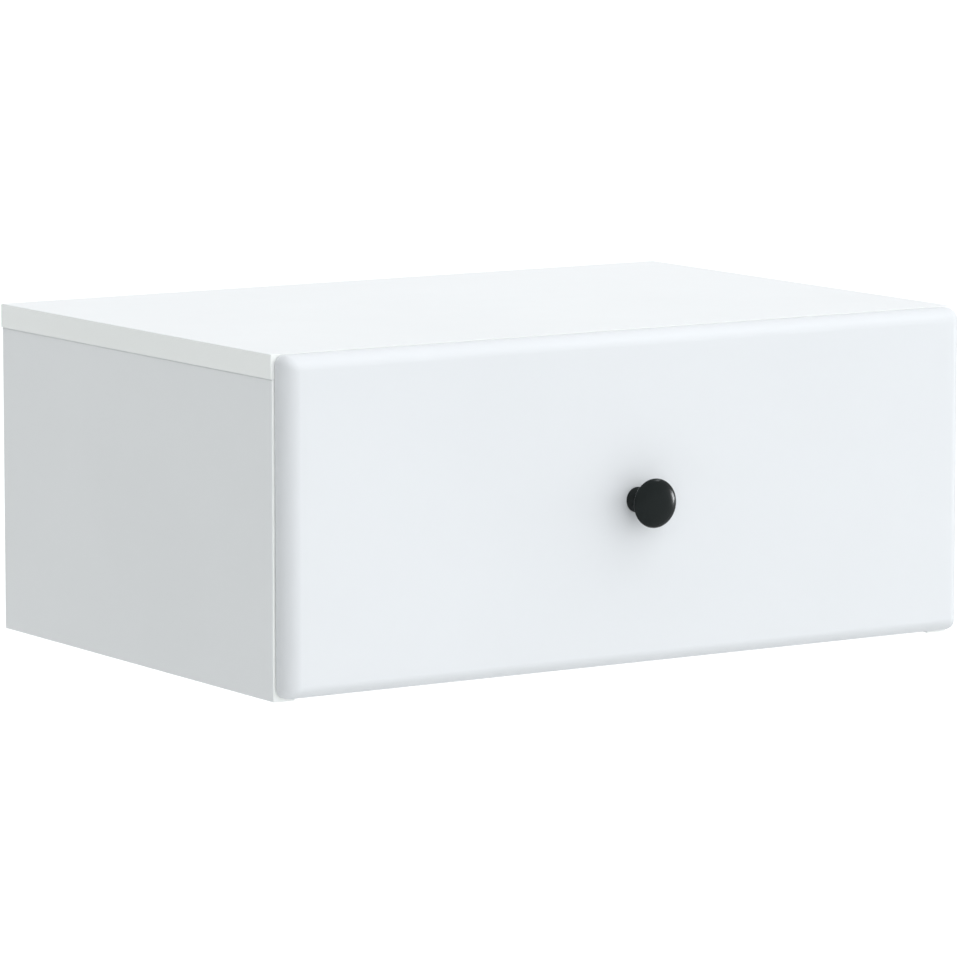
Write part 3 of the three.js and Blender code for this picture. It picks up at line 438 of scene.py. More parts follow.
def to_mesh(name, solid):
    mesh = bpy.data.meshes.new(name)
    solid.to_mesh(mesh)
    solid.free()
    return mesh


def add_object(name, data):
    thing = bpy.data.objects.new(name, data)
    bpy.context.scene.collection.objects.link(thing)
    return thing


def carve(name, body, cutters, additions=()):
    """The mesh of a body with the additions joined on and the cutters taken out. The faces that
    a cut leaves take the material of the piece's core."""
    piece = add_object(name, to_mesh(name, body))
    tools = []
    for operation, solids in (("UNION", additions), ("DIFFERENCE", cutters)):
        for solid in solids:
            if operation == "DIFFERENCE":
                for face in solid.faces:
                    face.material_index = CORE_MATERIAL
            tool = add_object("cutter", to_mesh("cutter", solid))
            modifier = piece.modifiers.new(operation, "BOOLEAN")
            modifier.operation = operation
            modifier.object = tool
            modifier.solver = "EXACT"
            modifier.material_mode = "INDEX"
            tools.append(tool)
    depsgraph = bpy.context.evaluated_depsgraph_get()
    depsgraph.update()
    mesh = bpy.data.meshes.new_from_object(piece.evaluated_get(depsgraph))
    mesh.name = name
    for thing in (piece, *tools):
        data = thing.data
        bpy.data.objects.remove(thing)
        bpy.data.meshes.remove(data)
    return mesh


BODY_OF = {
    node: body for body, members in frame["record"]["behaviour"]["bodies"].items() for node in members
}
SLOT_OF = {part["node"]: part["material_slot"] for part in frame["record"]["subparts"]}
RANGE_OF = {joint["name"]: joint["range_m"] for joint in frame["joints"] if "range_m" in joint}


# Materials


def add_node(tree, kind, **inputs):
    """A new node of a shader, with the given values on its sockets."""
    node = tree.nodes.new(kind)
    for socket, value in inputs.items():
        node.inputs[socket].default_value = value
    return node


def shader_of(material):
    return material.node_tree.nodes["Principled BSDF"]


def finish(name, specular=0.5, metallic=0.0, roughness=0.5):
    material = bpy.data.materials.new(name)
    material.use_nodes = True
    shader = shader_of(material)
    shader.inputs["Specular IOR Level"].default_value = specular
    shader.inputs["Metallic"].default_value = metallic
    shader.inputs["Roughness"].default_value = roughness
    return material


def texture(material, kind, scale, stretch=(1, 1, 1), **settings):
    """A procedural texture in the piece's own coordinates."""
    tree = material.node_tree
    place = add_node(tree, "ShaderNodeTexCoord")
    mapping = add_node(tree, "ShaderNodeMapping", Scale=stretch)
    pattern = add_node(tree, kind, Scale=scale, **settings)
    tree.links.new(place.outputs["Object"], mapping.inputs["Vector"])
    tree.links.new(mapping.outputs["Vector"], pattern.inputs["Vector"])
    return pattern


def noise(material, scale, detail=2, stretch=(1, 1, 1)):
    return texture(material, "ShaderNodeTexNoise", scale, stretch, Detail=detail).outputs["Fac"]


def map_range(material, factor, **limits):
    """A factor taken from one range to another. What isn't given is 0 or 1."""
    spread = add_node(material.node_tree, "ShaderNodeMapRange", **limits)
    material.node_tree.links.new(factor, spread.inputs["Value"])
    return spread.outputs["Result"]


def blend_colours(material, factor, first, second):
    mix = add_node(material.node_tree, "ShaderNodeMix")
    mix.data_type = "RGBA"
    material.node_tree.links.new(factor, mix.inputs["Factor"])
    for socket, colour in (("A", first), ("B", second)):
        target = next(s for s in mix.inputs if s.name == socket and s.type == "RGBA")
        if isinstance(colour, tuple):
            target.default_value = (*colour, 1)
        else:
            material.node_tree.links.new(colour, target)
    return next(s for s in mix.outputs if s.type == "RGBA")


def set_colour(material, factor, spread, first, second):
    """Colours a material from the first colour to the second as the factor crosses its spread."""
    share = map_range(material, factor, **{"From Min": spread[0], "From Max": spread[1]})
    colour = blend_colours(material, share, first, second)
    material.node_tree.links.new(colour, shader_of(material).inputs["Base Color"])


def set_roughness(material, factor, low, high):
    roughness = map_range(material, factor, **{"To Min": low, "To Max": high})
    material.node_tree.links.new(roughness, shader_of(material).inputs["Roughness"])


def set_relief(material, height, depth, strength):
    bump = add_node(material.node_tree, "ShaderNodeBump", Distance=depth, Strength=strength)
    material.node_tree.links.new(height, bump.inputs["Height"])
    material.node_tree.links.new(bump.outputs["Normal"], shader_of(material).inputs["Normal"])


def let_light_in(material, weight, reach):
    shader = shader_of(material)
    shader.inputs["Subsurface Weight"].default_value = weight
    shader.inputs["Subsurface Scale"].default_value = reach


def melamine():
    """White melamine facing: satin, with a fine pearl relief."""
    material = finish("white_melamine", specular=0.4)
    clouds = noise(material, 6, detail=3)
    set_colour(material, clouds, CLOUD_SPREAD, (0.802, 0.816, 0.822), (0.816, 0.830, 0.836))
    set_roughness(material, noise(material, 40), 0.38, 0.47)
    set_relief(material, noise(material, 700, detail=3), 0.02 * MM, 0.5)
    return material


def edge_band():
    """The plastic band on the boards' edges, a shade whiter and smoother than the facing."""
    material = finish("white_edge_band", specular=0.45)
    clouds = noise(material, 9)
    set_colour(material, clouds, CLOUD_SPREAD, (0.905, 0.920, 0.902), (0.917, 0.930, 0.914))
    set_roughness(material, noise(material, 60), 0.32, 0.42)
    set_relief(material, noise(material, 240, stretch=(0.2, 1, 1)), 0.02 * MM, 0.4)
    return material


def chipboard():
    """The bare core of the boards, in bores and grooves."""
    material = finish("bare_chipboard", specular=0.2, roughness=0.85)
    chips = texture(material, "ShaderNodeTexVoronoi", 450, stretch=(1, 1, 2.2), Randomness=1.0)
    dust = noise(material, 1600, detail=4)
    wood = blend_colours(material, chips.outputs["Color"], (0.42, 0.27, 0.14), (0.62, 0.44, 0.26))
    set_colour(material, dust, DUST_SPREAD, wood, (0.70, 0.55, 0.37))
    set_relief(material, chips.outputs["Distance"], 0.25 * MM, 0.8)
    return material


def lacquer():
    """The satin white skin of the drawer front, smooth and very slightly uneven."""
    material = finish("white_lacquer", specular=0.2)
    clouds = noise(material, 5, detail=3)
    set_colour(material, clouds, CLOUD_SPREAD, (0.734, 0.748, 0.765), (0.746, 0.760, 0.777))
    set_roughness(material, noise(material, 30), 0.47, 0.54)
    set_relief(material, noise(material, 180), 0.015 * MM, 0.4)
    return material


def fibreboard():
    """Thin white-faced fibreboard, matte."""
    material = finish("white_fibreboard", specular=0.3)
    flecks = noise(material, 350, detail=4, stretch=(1, 0.35, 1))
    set_colour(material, flecks, GRAIN_SPREAD, (0.820, 0.832, 0.830), (0.850, 0.860, 0.858))
    set_roughness(material, noise(material, 60), 0.55, 0.68)
    set_relief(material, flecks, 0.03 * MM, 0.5)
    return material


def epoxy_steel():
    """White epoxy coating on the runners, with a slight orange peel."""
    material = finish("white_epoxy")
    clouds = noise(material, 25)
    set_colour(material, clouds, CLOUD_SPREAD, (0.800, 0.812, 0.812), (0.828, 0.840, 0.840))
    set_roughness(material, noise(material, 80), 0.3, 0.42)
    set_relief(material, noise(material, 900, detail=1), 0.03 * MM, 0.5)
    return material


def moulded_nylon():
    """Natural white nylon, faintly grained and slightly warm."""
    material = finish("natural_nylon", specular=0.45)
    let_light_in(material, 0.15, 1.5 * MM)
    clouds = noise(material, 220, detail=3)
    set_colour(material, clouds, GRAIN_SPREAD, (0.820, 0.815, 0.770), (0.862, 0.860, 0.825))
    set_roughness(material, noise(material, 500), 0.42, 0.58)
    set_relief(material, noise(material, 1500), 0.02 * MM, 0.6)
    return material


def cast_zinc():
    """Dull die-cast zinc with the grain of the die."""
    material = finish("cast_zinc", metallic=1.0)
    patches = noise(material, 700, detail=4)
    set_colour(material, patches, GRAIN_SPREAD, (0.38, 0.39, 0.40), (0.52, 0.53, 0.54))
    set_roughness(material, noise(material, 1400, detail=3), 0.36, 0.56)
    set_relief(material, noise(material, 2500, detail=3), 0.03 * MM, 0.6)
    return material


def plated_steel():
    """Bright zinc-plated steel, finely grained, with a slight yellow and blue cast."""
    material = finish("plated_steel", metallic=1.0)
    cast = noise(material, 260)
    set_colour(material, cast, GRAIN_SPREAD, (0.56, 0.57, 0.60), (0.66, 0.65, 0.61))
    set_roughness(material, noise(material, 900, detail=3), 0.24, 0.40)
    set_relief(material, noise(material, 3000), 0.01 * MM, 0.6)
    return material


def soft_pad():
    """Soft pale plastic of the bumper pads."""
    material = finish("soft_pad", specular=0.4)
    let_light_in(material, 0.3, 1.0 * MM)
    clouds = noise(material, 600)
    set_colour(material, clouds, GRAIN_SPREAD, (0.70, 0.73, 0.73), (0.76, 0.79, 0.79))
    set_roughness(material, noise(material, 900), 0.5, 0.65)
    set_relief(material, noise(material, 1800), 0.02 * MM, 0.5)
    return material


def black_satin():
    """Black satin knob: a smooth coat with the faintest grain."""
    material = finish("black_satin", specular=0.145)
    clouds = noise(material, 120, detail=3)
    set_colour(material, clouds, GRAIN_SPREAD, (0.0048, 0.0078, 0.0078), (0.0060, 0.0092, 0.0092))
    set_roughness(material, noise(material, 350, detail=3), 0.17, 0.23)
    set_relief(material, noise(material, 1600), 0.01 * MM, 0.5)
    return material


CORE = chipboard()
FINISHES = {
    "white_board": [melamine(), CORE, edge_band()],
    "white_lacquer": [lacquer(), CORE],
    "back_board": [fibreboard()],
    "runner_paint": [epoxy_steel()],
    "nylon": [moulded_nylon()],
    "zinc": [cast_zinc()],
    "steel": [plated_steel()],
    "pad_plastic": [soft_pad()],
    "knob_black": [black_satin()],
}


def dress(node, mesh, to_world=None):
    """Puts a finished mesh in the place of a node, on the node's body and in its slot."""
    if isinstance(mesh, bmesh.types.BMesh):
        mesh = to_mesh(node, mesh)
    for material in FINISHES[SLOT_OF[node]]:
        mesh.materials.append(material)
    mesh.shade_smooth()
    mesh.set_sharp_from_angle(angle=SHARP_ANGLE)
    piece = add_object(node + "_fine", mesh)
    if to_world is not None:
        piece.matrix_world = to_world
    normals = piece.modifiers.new("even_flats", "WEIGHTED_NORMAL")
    normals.keep_sharp = True
    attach(piece, BODY_OF[node])
    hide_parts(node)


# Cam joints. Each has the point in the middle of its bolt's head, the way that the bolt
# points and the way that the cam's open face looks.


def cam_joints():
    joints = {}
    for side, sign in SIDES:
        outward = X * sign
        for row in ROWS:
            joints[f"top_{side}_{row}"] = (Z, -outward)
            joints[f"bottom_{side}_{row}"] = (outward, -Z)
        joints[f"rail_{side}"] = (outward, -Y)
    placed = {}
    for label, (bolt_way, face_way) in joints.items():
        low, high = corners(f"cam_lock_{label}")
        face = (low + high) / 2
        for axis in range(3):
            if face_way[axis]:
                face[axis] = high[axis] if face_way[axis] > 0 else low[axis]
        placed[label] = (face - face_way * BOARD / 2, bolt_way, face_way)
    return placed


CAM_JOINTS = cam_joints()


def cam_bores(group):
    """The bores for the cams and for the bolts that reach them, in the board that holds the cams."""
    cutters = []
    for label, (head, bolt_way, face_way) in CAM_JOINTS.items():
        if label.startswith(group):
            face = head + face_way * BOARD / 2
            floor = face - face_way * CAM_BORE_DEPTH
            edge = head + bolt_way * (CAM_FROM_EDGE + OVERRUN)
            cutters.append(drill(CAM_BORE_RADIUS, floor, face + face_way * OVERRUN, CAM_SIDES))
            cutters.append(drill(BOLT_BORE_RADIUS, head, edge))
    return cutters


def bolt_holes(group):
    """The holes that the bolts' threads bite into, in the board that holds the bolts."""
    cutters = []
    for label, (head, bolt_way, _) in CAM_JOINTS.items():
        if label.startswith(group):
            edge = head + bolt_way * CAM_FROM_EDGE
            end = edge + bolt_way * BOLT_HOLE_DEPTH
            cutters.append(drill(BOLT_HOLE_RADIUS, edge - bolt_way * OVERRUN, end))
    return cutters


def cross_slots(length, width, depth, height):
    """Two crossed slots sunk into a face that looks along +Z at the given height."""
    slots = []
    for half_x, half_y in ((length / 2, width / 2), (width / 2, length / 2)):
        slots.append(block(
            Vector((-half_x, -half_y, height - depth)),
            Vector((half_x, half_y, height + OVERRUN)),
        ))
    return slots


def cam_mesh():
    profile = rounded([
        (0, -CAM_LENGTH, 0),
        (CAM_RADIUS, -CAM_LENGTH, CAM_EDGE),
        (CAM_RADIUS, 0, CAM_EDGE),
        (0, 0, 0),
    ])
    channel = block(
        Vector((-CAM_CHANNEL_PAST_AXIS, -CAM_CHANNEL_WIDTH / 2, -CAM_LENGTH - OVERRUN)),
        Vector((CAM_RADIUS + OVERRUN, CAM_CHANNEL_WIDTH / 2, -CAM_LID)),
    )
    slots = cross_slots(CAM_SLOT_LENGTH, CAM_SLOT_WIDTH, CAM_SLOT_DEPTH, 0)
    return carve("cam_lock", lathe(profile, CAM_SIDES), [channel, *slots])


def thread(radius, depth, pitch, start, end):
    """The profile of a thread's crests and roots between two heights."""
    rows = []
    turns = max(1, round((end - start) / pitch))
    step = (end - start) / turns
    for turn in range(turns):
        height = start + turn * step
        rows += [(radius - depth, height), (radius, height + step / 2)]
    return rows + [(radius - depth, end)]


def bolt_mesh():
    head_end = BOLT_HEAD_LENGTH / 2
    neck_end = head_end + BOLT_NECK_LENGTH
    tip = CAM_FROM_EDGE + BOLT_THREAD_LENGTH
    edge = CAM_EDGE
    profile = rounded([
        (0, -head_end, 0),
        (BOLT_HEAD_RADIUS, -head_end, edge),
        (BOLT_HEAD_RADIUS, head_end, edge),
        (BOLT_NECK_RADIUS, head_end, 0),
        (BOLT_NECK_RADIUS, neck_end, 0),
        (BOLT_SHANK_RADIUS, neck_end, edge),
        (BOLT_SHANK_RADIUS, CAM_FROM_EDGE, edge),
    ])
    profile += thread(BOLT_THREAD_RADIUS, BOLT_THREAD_DEPTH, BOLT_PITCH, CAM_FROM_EDGE, tip)
    profile.append((0, tip))
    return to_mesh("cam_bolt", lathe(profile, SCREW_SIDES))


def build_cam_joints():
    cam = cam_mesh()
    bolt = bolt_mesh()
    for label, (head, bolt_way, face_way) in CAM_JOINTS.items():
        axes = Matrix((bolt_way, face_way.cross(bolt_way), face_way)).transposed().to_4x4()
        face = head + face_way * BOARD / 2
        dress(f"cam_lock_{label}", cam.copy(), Matrix.Translation(face) @ axes)
        dress(f"cam_bolt_{label}", bolt.copy(), lay(head, bolt_way))


# Screws lie along their own Z axis, with the head's seat, or a sunk head's top, at the origin


def screw_mesh(name, head, radius, length, depth, pitch, tip, face_height, face_radius):
    """A screw from its head's profile, with a thread on its shank and a cross recess in its head."""
    shank_start = head[-1][1]
    profile = head + thread(radius, depth, pitch, shank_start, length - tip)
    profile += [(0, length)]
    solid = lathe(profile, SCREW_SIDES)
    slots = [
        moved(slot, Matrix.Rotation(math.pi, 4, "X"))
        for slot in cross_slots(face_radius * CROSS_LENGTH_SHARE, CROSS_WIDTH, CROSS_DEPTH, -face_height)
    ]
    return carve(name, solid, slots)


def pan_head(head_radius, head_length, radius):
    """A domed head above its flat seat."""
    dome = []
    for step in range(PAN_HEAD_STEPS + 1):
        angle = step / PAN_HEAD_STEPS * math.pi / 2
        rise = PAN_RIM_SHARE + (1 - PAN_RIM_SHARE) * math.cos(angle)
        dome.append((head_radius * math.sin(angle), -head_length * rise))
    return dome + [(head_radius, 0), (radius, 0)]


def pan_screw(name, radius, length, head_radius, head_length, tip=SCREW_TIP,
              depth=SCREW_THREAD_DEPTH, pitch=SCREW_PITCH):
    head = pan_head(head_radius, head_length, radius)
    return screw_mesh(name, head, radius, length, depth, pitch, tip, -head_length, head_radius)


def sunk_screw():
    head = [
        (0, 0),
        (RUNNER_SCREW_HEAD_RADIUS, 0),
        (RUNNER_SCREW_RADIUS, RUNNER_SCREW_HEAD_LENGTH),
    ]
    return screw_mesh(
        "sunk_screw",
        head,
        RUNNER_SCREW_RADIUS,
        RUNNER_SCREW_LENGTH,
        SCREW_THREAD_DEPTH,
        SCREW_PITCH,
        SCREW_TIP,
        0,
        RUNNER_SCREW_HEAD_RADIUS,
    )


def sunk_hole():
    """The hole of a sunk screw, open past its head."""
    mouth = RUNNER_SCREW_HEAD_RADIUS + HOLE_CLEARANCE
    depth = RUNNER_SCREW_LENGTH + TIP_CLEARANCE
    return lathe([
        (0, -OVERRUN),
        (mouth, -OVERRUN),
        (mouth, 0),
        (RUNNER_HOLE_RADIUS, RUNNER_SCREW_HEAD_LENGTH),
        (RUNNER_HOLE_RADIUS, depth),
        (0, depth),
    ], HOLE_SIDES)


def sunk_place(side, sign, row):
    """Where a sunk runner screw's head starts, and the way that the screw points."""
    node = f"cabinet_runner_screw_{side}_{row}"
    start = middle(node)
    start.x = inner_x(node, sign)
    return lay(start, X * sign)


def build_screws():
    sunk = sunk_screw()
    pan = pan_screw(
        "drawer_runner_screw",
        RUNNER_SCREW_RADIUS,
        DRAWER_SCREW_LENGTH,
        DRAWER_SCREW_HEAD_RADIUS,
        DRAWER_SCREW_HEAD_LENGTH,
    )
    front = pan_screw(
        "drawer_front_screw",
        FRONT_SCREW_RADIUS,
        FRONT_SCREW_LENGTH,
        FRONT_SCREW_HEAD_RADIUS,
        FRONT_SCREW_HEAD_LENGTH,
    )
    knob_screw = pan_screw(
        "knob_screw",
        FRONT_SCREW_RADIUS,
        KNOB_SCREW_LENGTH,
        KNOB_SCREW_HEAD_RADIUS,
        KNOB_SCREW_HEAD_LENGTH,
        KNOB_SCREW_TIP,
        KNOB_SCREW_THREAD_DEPTH,
        KNOB_SCREW_PITCH,
    )
    for side, sign in SIDES:
        for row in ROWS:
            dress(f"cabinet_runner_screw_{side}_{row}", sunk.copy(), sunk_place(side, sign, row))
            node = f"drawer_runner_screw_{side}_{row}"
            seat = middle(node)
            seat.x = inner_x(node, sign) + sign * DRAWER_SCREW_LENGTH
            dress(node, pan.copy(), lay(seat, -X * sign))
        node = f"drawer_front_screw_{side}"
        seat = middle(node)
        seat.y = corners(node)[1].y - FRONT_SCREW_HEAD_LENGTH
        dress(node, front.copy(), lay(seat, -Y))
    seat = middle("knob_screw")
    seat.y = corners("knob_screw")[1].y - KNOB_SCREW_HEAD_LENGTH
    dress("knob_screw", knob_screw, lay(seat, -Y))


# Cabinet boards


def groove_across():
    """Where the groove for the back panel starts and ends, from front to back."""
    low, high = corners("back_panel")
    centre_y = (low.y + high.y) / 2
    return centre_y - GROOVE_WIDTH / 2, centre_y + GROOVE_WIDTH / 2


def band_edges(body):
    """The faces on the edges of a board take the edge band, its third material."""
    spans = [max(v.co[axis] for v in body.verts) - min(v.co[axis] for v in body.verts) for axis in range(3)]
    thin = spans.index(min(spans))
    body.normal_update()
    for face in body.faces:
        if abs(face.normal[thin]) < BAND_SLOPE:
            face.material_index = BAND_MATERIAL
    return body


def plain_board(node, cutters, body=None):
    """A melamine board with banded edges, bored and grooved by its cutters."""
    if body is None:
        body = block(*corners(node), BOARD_ARRIS)
    dress(node, carve(node, band_edges(body), cutters))


def thin_board(node):
    dress(node, block(*corners(node), THIN_BOARD_ARRIS))


def side_body(side, sign):
    """A side panel whose outer face has a wider arris than its inner one."""
    node = f"side_panel_{side}"
    low, high = corners(node)
    body = slab(
        (high.z - low.z) / 2,
        (high.y - low.y) / 2,
        high.x - low.x,
        SIDE_CORNER_RADIUS,
        SIDE_FACE_CORNER_RADIUS,
        BOARD_ARRIS,
        SIDE_OUTER_ARRIS,
        SIDE_OUTER_ARRIS,
        SIDE_ARRIS_STEPS,
        ARRIS_STEPS,
    )
    seat = middle(node)
    seat.x = inner_x(node, sign)
    axes = Matrix((Z * -sign, Y, X * sign)).transposed().to_4x4()
    return moved(body, Matrix.Translation(seat) @ axes)


def wall_holes():
    """The holes of the two wall screws, sunk into the hanging rail's front."""
    low, high = corners("hanging_rail")
    cutters = []
    for _, sign in SIDES:
        centre = middle("hanging_rail")
        centre.x = sign * RAIL_SCREW_X
        cutters.append(drill_along(ALONG_Y, WALL_HOLE_RADIUS, centre, low.y - OVERRUN, high.y + OVERRUN))
        sink = lathe([
            (0, -OVERRUN),
            (WALL_SINK_RADIUS, -OVERRUN),
            (WALL_SINK_RADIUS, 0),
            (WALL_HOLE_RADIUS, WALL_SINK_DEPTH),
            (0, WALL_SINK_DEPTH),
        ], HOLE_SIDES)
        cutters.append(moved(sink, lay(Vector((centre.x, low.y, centre.z)), Y)))
    return cutters


def build_cabinet():
    groove_front, groove_back = groove_across()
    rail_low, rail_high = corners("hanging_rail")
    floor_low, floor_high = corners("bottom_panel")
    groove_low = floor_high.z - GROOVE_DEPTH
    groove_high = rail_low.z + GROOVE_DEPTH
    plain_board("top_panel", bolt_holes("top"))
    for side, sign in SIDES:
        inner = inner_x(f"side_panel_{side}", sign)
        groove = block(*spanning(
            Vector((inner - sign * OVERRUN, groove_front, groove_low)),
            Vector((inner + sign * GROOVE_DEPTH, groove_back, groove_high)),
        ))
        screw_holes = [moved(sunk_hole(), sunk_place(side, sign, row)) for row in ROWS]
        plain_board(f"side_panel_{side}", [
            *cam_bores(f"top_{side}"),
            *bolt_holes(f"bottom_{side}"),
            *bolt_holes(f"rail_{side}"),
            *screw_holes,
            groove,
        ], side_body(side, sign))
    floor_groove = block(
        Vector((floor_low.x - OVERRUN, groove_front, groove_low)),
        Vector((floor_high.x + OVERRUN, groove_back, floor_high.z + OVERRUN)),
    )
    plain_board("bottom_panel", [*cam_bores("bottom"), floor_groove])
    rail_groove = block(
        Vector((rail_low.x - OVERRUN, groove_front, rail_low.z - OVERRUN)),
        Vector((rail_high.x + OVERRUN, groove_back, groove_high)),
    )
    plain_board("hanging_rail", [*cam_bores("rail"), rail_groove, *wall_holes()])
    thin_board("back_panel")


# Drawer box


def build_drawer_box():
    bottom_low, bottom_high = corners("drawer_bottom")
    box_low = corners("drawer_side_left")[0]
    box_high = corners("drawer_side_right")[1]
    board = corners("drawer_side_left")[1].x - box_low.x
    clearance = (GROOVE_WIDTH - (bottom_high.z - bottom_low.z)) / 2
    remaining = board - GROOVE_DEPTH

    def groove():
        return block(
            Vector((box_low.x + remaining, box_low.y + remaining, bottom_low.z - clearance)),
            Vector((box_high.x - remaining, box_high.y - remaining, bottom_high.z + clearance)),
        )

    for side, sign in SIDES:
        node = f"drawer_side_{side}"
        start = outer_x(node, sign) + sign * OVERRUN
        end = outer_x(node, sign) - sign * (DRAWER_SCREW_LENGTH - STEEL + TIP_CLEARANCE)
        screws = [middle(f"drawer_runner_screw_{side}_{row}") for row in ROWS]
        holes = [drill_along(ALONG_X, RUNNER_HOLE_RADIUS, screw, start, end) for screw in screws]
        plain_board(node, [groove(), *holes])
    low, high = corners("drawer_box_front")
    holes = [
        drill_along(ALONG_Y, FRONT_HOLE_RADIUS, middle(node), low.y - OVERRUN, high.y + OVERRUN)
        for node in (*FRONT_SCREWS, "knob_screw")
    ]
    plain_board("drawer_box_front", [groove(), *holes])
    plain_board("drawer_box_back", [groove()])
    thin_board("drawer_bottom")


# Drawer front: a slab with its edges rounded over


def build_drawer_front():
    low, high = corners("drawer_front")
    solid = slab(
        (high.x - low.x) / 2,
        (high.z - low.z) / 2,
        high.y - low.y,
        FRONT_CORNER_RADIUS,
        FRONT_FACE_CORNER_RADIUS,
        FRONT_BACK_ARRIS,
        FRONT_ROUNDOVER,
        FRONT_ROUNDOVER_DEPTH,
        ROUNDOVER_STEPS,
        CORNER_STEPS,
    )
    back = middle("drawer_front")
    back.y = high.y
    moved(solid, Matrix.Translation(back) @ Matrix.Rotation(math.pi / 2, 4, "X"))
    start = high.y + OVERRUN
    holes = []
    for node in FRONT_SCREWS:
        tip = corners(node)[0].y - TIP_CLEARANCE
        holes.append(drill_along(ALONG_Y, FRONT_HOLE_RADIUS, middle(node), start, tip))
    holes.append(drill_along(ALONG_Y, FRONT_HOLE_RADIUS, middle("knob_screw"), start, low.y - OVERRUN))
    dress("drawer_front", carve("drawer_front", solid, holes))


def build_pads():
    for side, _ in SIDES:
        node = f"bumper_pad_{side}"
        low, high = corners(node)
        thickness = high.y - low.y
        radius = (high.x - low.x) / 2
        profile = rounded([(0, 0, 0), (radius, 0, 0), (radius, thickness, PAD_EDGE), (0, thickness, 0)])
        seat = (low + high) / 2
        seat.y = low.y
        dress(node, lathe(profile, CAM_SIDES), lay(seat, Y))


# Knob: a foot, a drawn-in neck and a domed head


def curve(start, control, end):
    """Points after the start of a quadratic curve, up to its end."""
    points = []
    for step in range(1, KNOB_CURVE_STEPS + 1):
        t = step / KNOB_CURVE_STEPS
        points.append(tuple(
            a * (1 - t) ** 2 + 2 * b * t * (1 - t) + c * t ** 2 for a, b, c in zip(start, control, end)
        ))
    return points


def build_knob():
    foot = rounded([
        (KNOB_BORE_RADIUS, 0, 0),
        (KNOB_BASE_RADIUS, 0, 0),
        (KNOB_BASE_RADIUS, KNOB_BASE_LENGTH, KNOB_BASE_EDGE),
        (KNOB_BASE_RADIUS - KNOB_BASE_EDGE * 2, KNOB_BASE_LENGTH + KNOB_BASE_EDGE * 2, 0),
    ])[:-1]
    foot_end = (KNOB_BASE_RADIUS, KNOB_BASE_LENGTH)
    foot_curve = (KNOB_NECK_RADIUS, (KNOB_BASE_LENGTH + KNOB_NECK_FROM_FACE) / 2)
    neck_start = (KNOB_NECK_RADIUS, KNOB_NECK_FROM_FACE)
    neck_end = (KNOB_NECK_RADIUS, KNOB_NECK_FROM_FACE + KNOB_NECK_LENGTH)
    back = ((KNOB_NECK_RADIUS + KNOB_HEAD_RADIUS) / 2, KNOB_HEAD_BACK)
    rim = (KNOB_HEAD_RADIUS, KNOB_RIM_FROM_FACE)
    crown = (0, KNOB_LENGTH)
    profile = [(0, KNOB_BORE_DEPTH), (KNOB_BORE_RADIUS, KNOB_BORE_DEPTH)]
    profile += foot[:-1]
    profile += curve(foot_end, foot_curve, neck_start)
    profile.append(neck_end)
    profile += curve(neck_end, (KNOB_NECK_RADIUS, KNOB_HEAD_BACK), back)
    profile += curve(back, (KNOB_HEAD_RADIUS, KNOB_HEAD_BACK), rim)
    profile += curve(rim, (KNOB_HEAD_RADIUS, KNOB_LENGTH), crown)
    seat = middle("knob")
    seat.y = corners("knob")[1].y
    dress("knob", lathe(profile, KNOB_SIDES), lay(seat, -Y))


# Roller runners. A section's first value is the distance from the side panel towards the
# drawer, the second the height above the runner's base, the third the radius of the corner.


def runner_section(points, sign):
    return rounded([(-sign * away, height, radius) for away, height, radius in points], BEND_STEPS)


def along_runner(face_x, rear, base):
    """Takes a section's plane to the part's frame, with the section pushed towards the front."""
    return Matrix.Translation((face_x, rear, base)) @ Matrix.Rotation(math.pi / 2, 4, "X")


def roller_stop(side):
    """Where the rear roller of the open drawer meets the stop in the cabinet's runner."""
    low, high = corners(f"rear_roller_{side}")
    reach = (high.z - low.z) / 2 + ROLLER_CLEARANCE
    along = math.sqrt(reach ** 2 - (reach - STOP_HEIGHT) ** 2)
    return (low.y + high.y) / 2 - RANGE_OF["drawer_slide"][1] - along - ROLLER_CLEARANCE


def build_cabinet_runner(side, sign):
    node = f"cabinet_runner_{side}"
    low, high = corners(node)
    face_x = outer_x(node, sign)
    flange = high.x - low.x
    height = high.z - low.z
    outer = BEND_RADIUS + STEEL
    section = runner_section([
        (0, 0, outer),
        (flange, 0, outer),
        (flange, CHANNEL_LIP, SHEET_EDGE),
        (flange - STEEL, CHANNEL_LIP, SHEET_EDGE),
        (flange - STEEL, STEEL, BEND_RADIUS),
        (STEEL, STEEL, BEND_RADIUS),
        (STEEL, height - STEEL, BEND_RADIUS),
        (flange, height - STEEL, SHEET_EDGE),
        (flange, height, SHEET_EDGE),
        (0, height, outer),
    ], sign)
    body = prism(section, along_runner(face_x, high.y, low.z), high.y - low.y)
    pin = middle(f"front_roller_pin_{side}")
    cutters = [drill_along(
        ALONG_X, PIN_HOLE_RADIUS, pin, face_x + sign * OVERRUN, face_x - sign * (STEEL + OVERRUN),
    )]
    cutters += [moved(sunk_hole(), sunk_place(side, sign, row)) for row in ROWS]
    stop_rear = roller_stop(side)
    inner = face_x - sign * STEEL / 2
    reach = face_x - sign * (flange - STEEL / 2)
    stop = block(*spanning(
        Vector((inner, stop_rear - STOP_LENGTH, low.z + STEEL / 2)),
        Vector((reach, stop_rear, low.z + STEEL + STOP_HEIGHT)),
    ), SHEET_EDGE)
    dress(node, carve(node, body, cutters, [stop]))


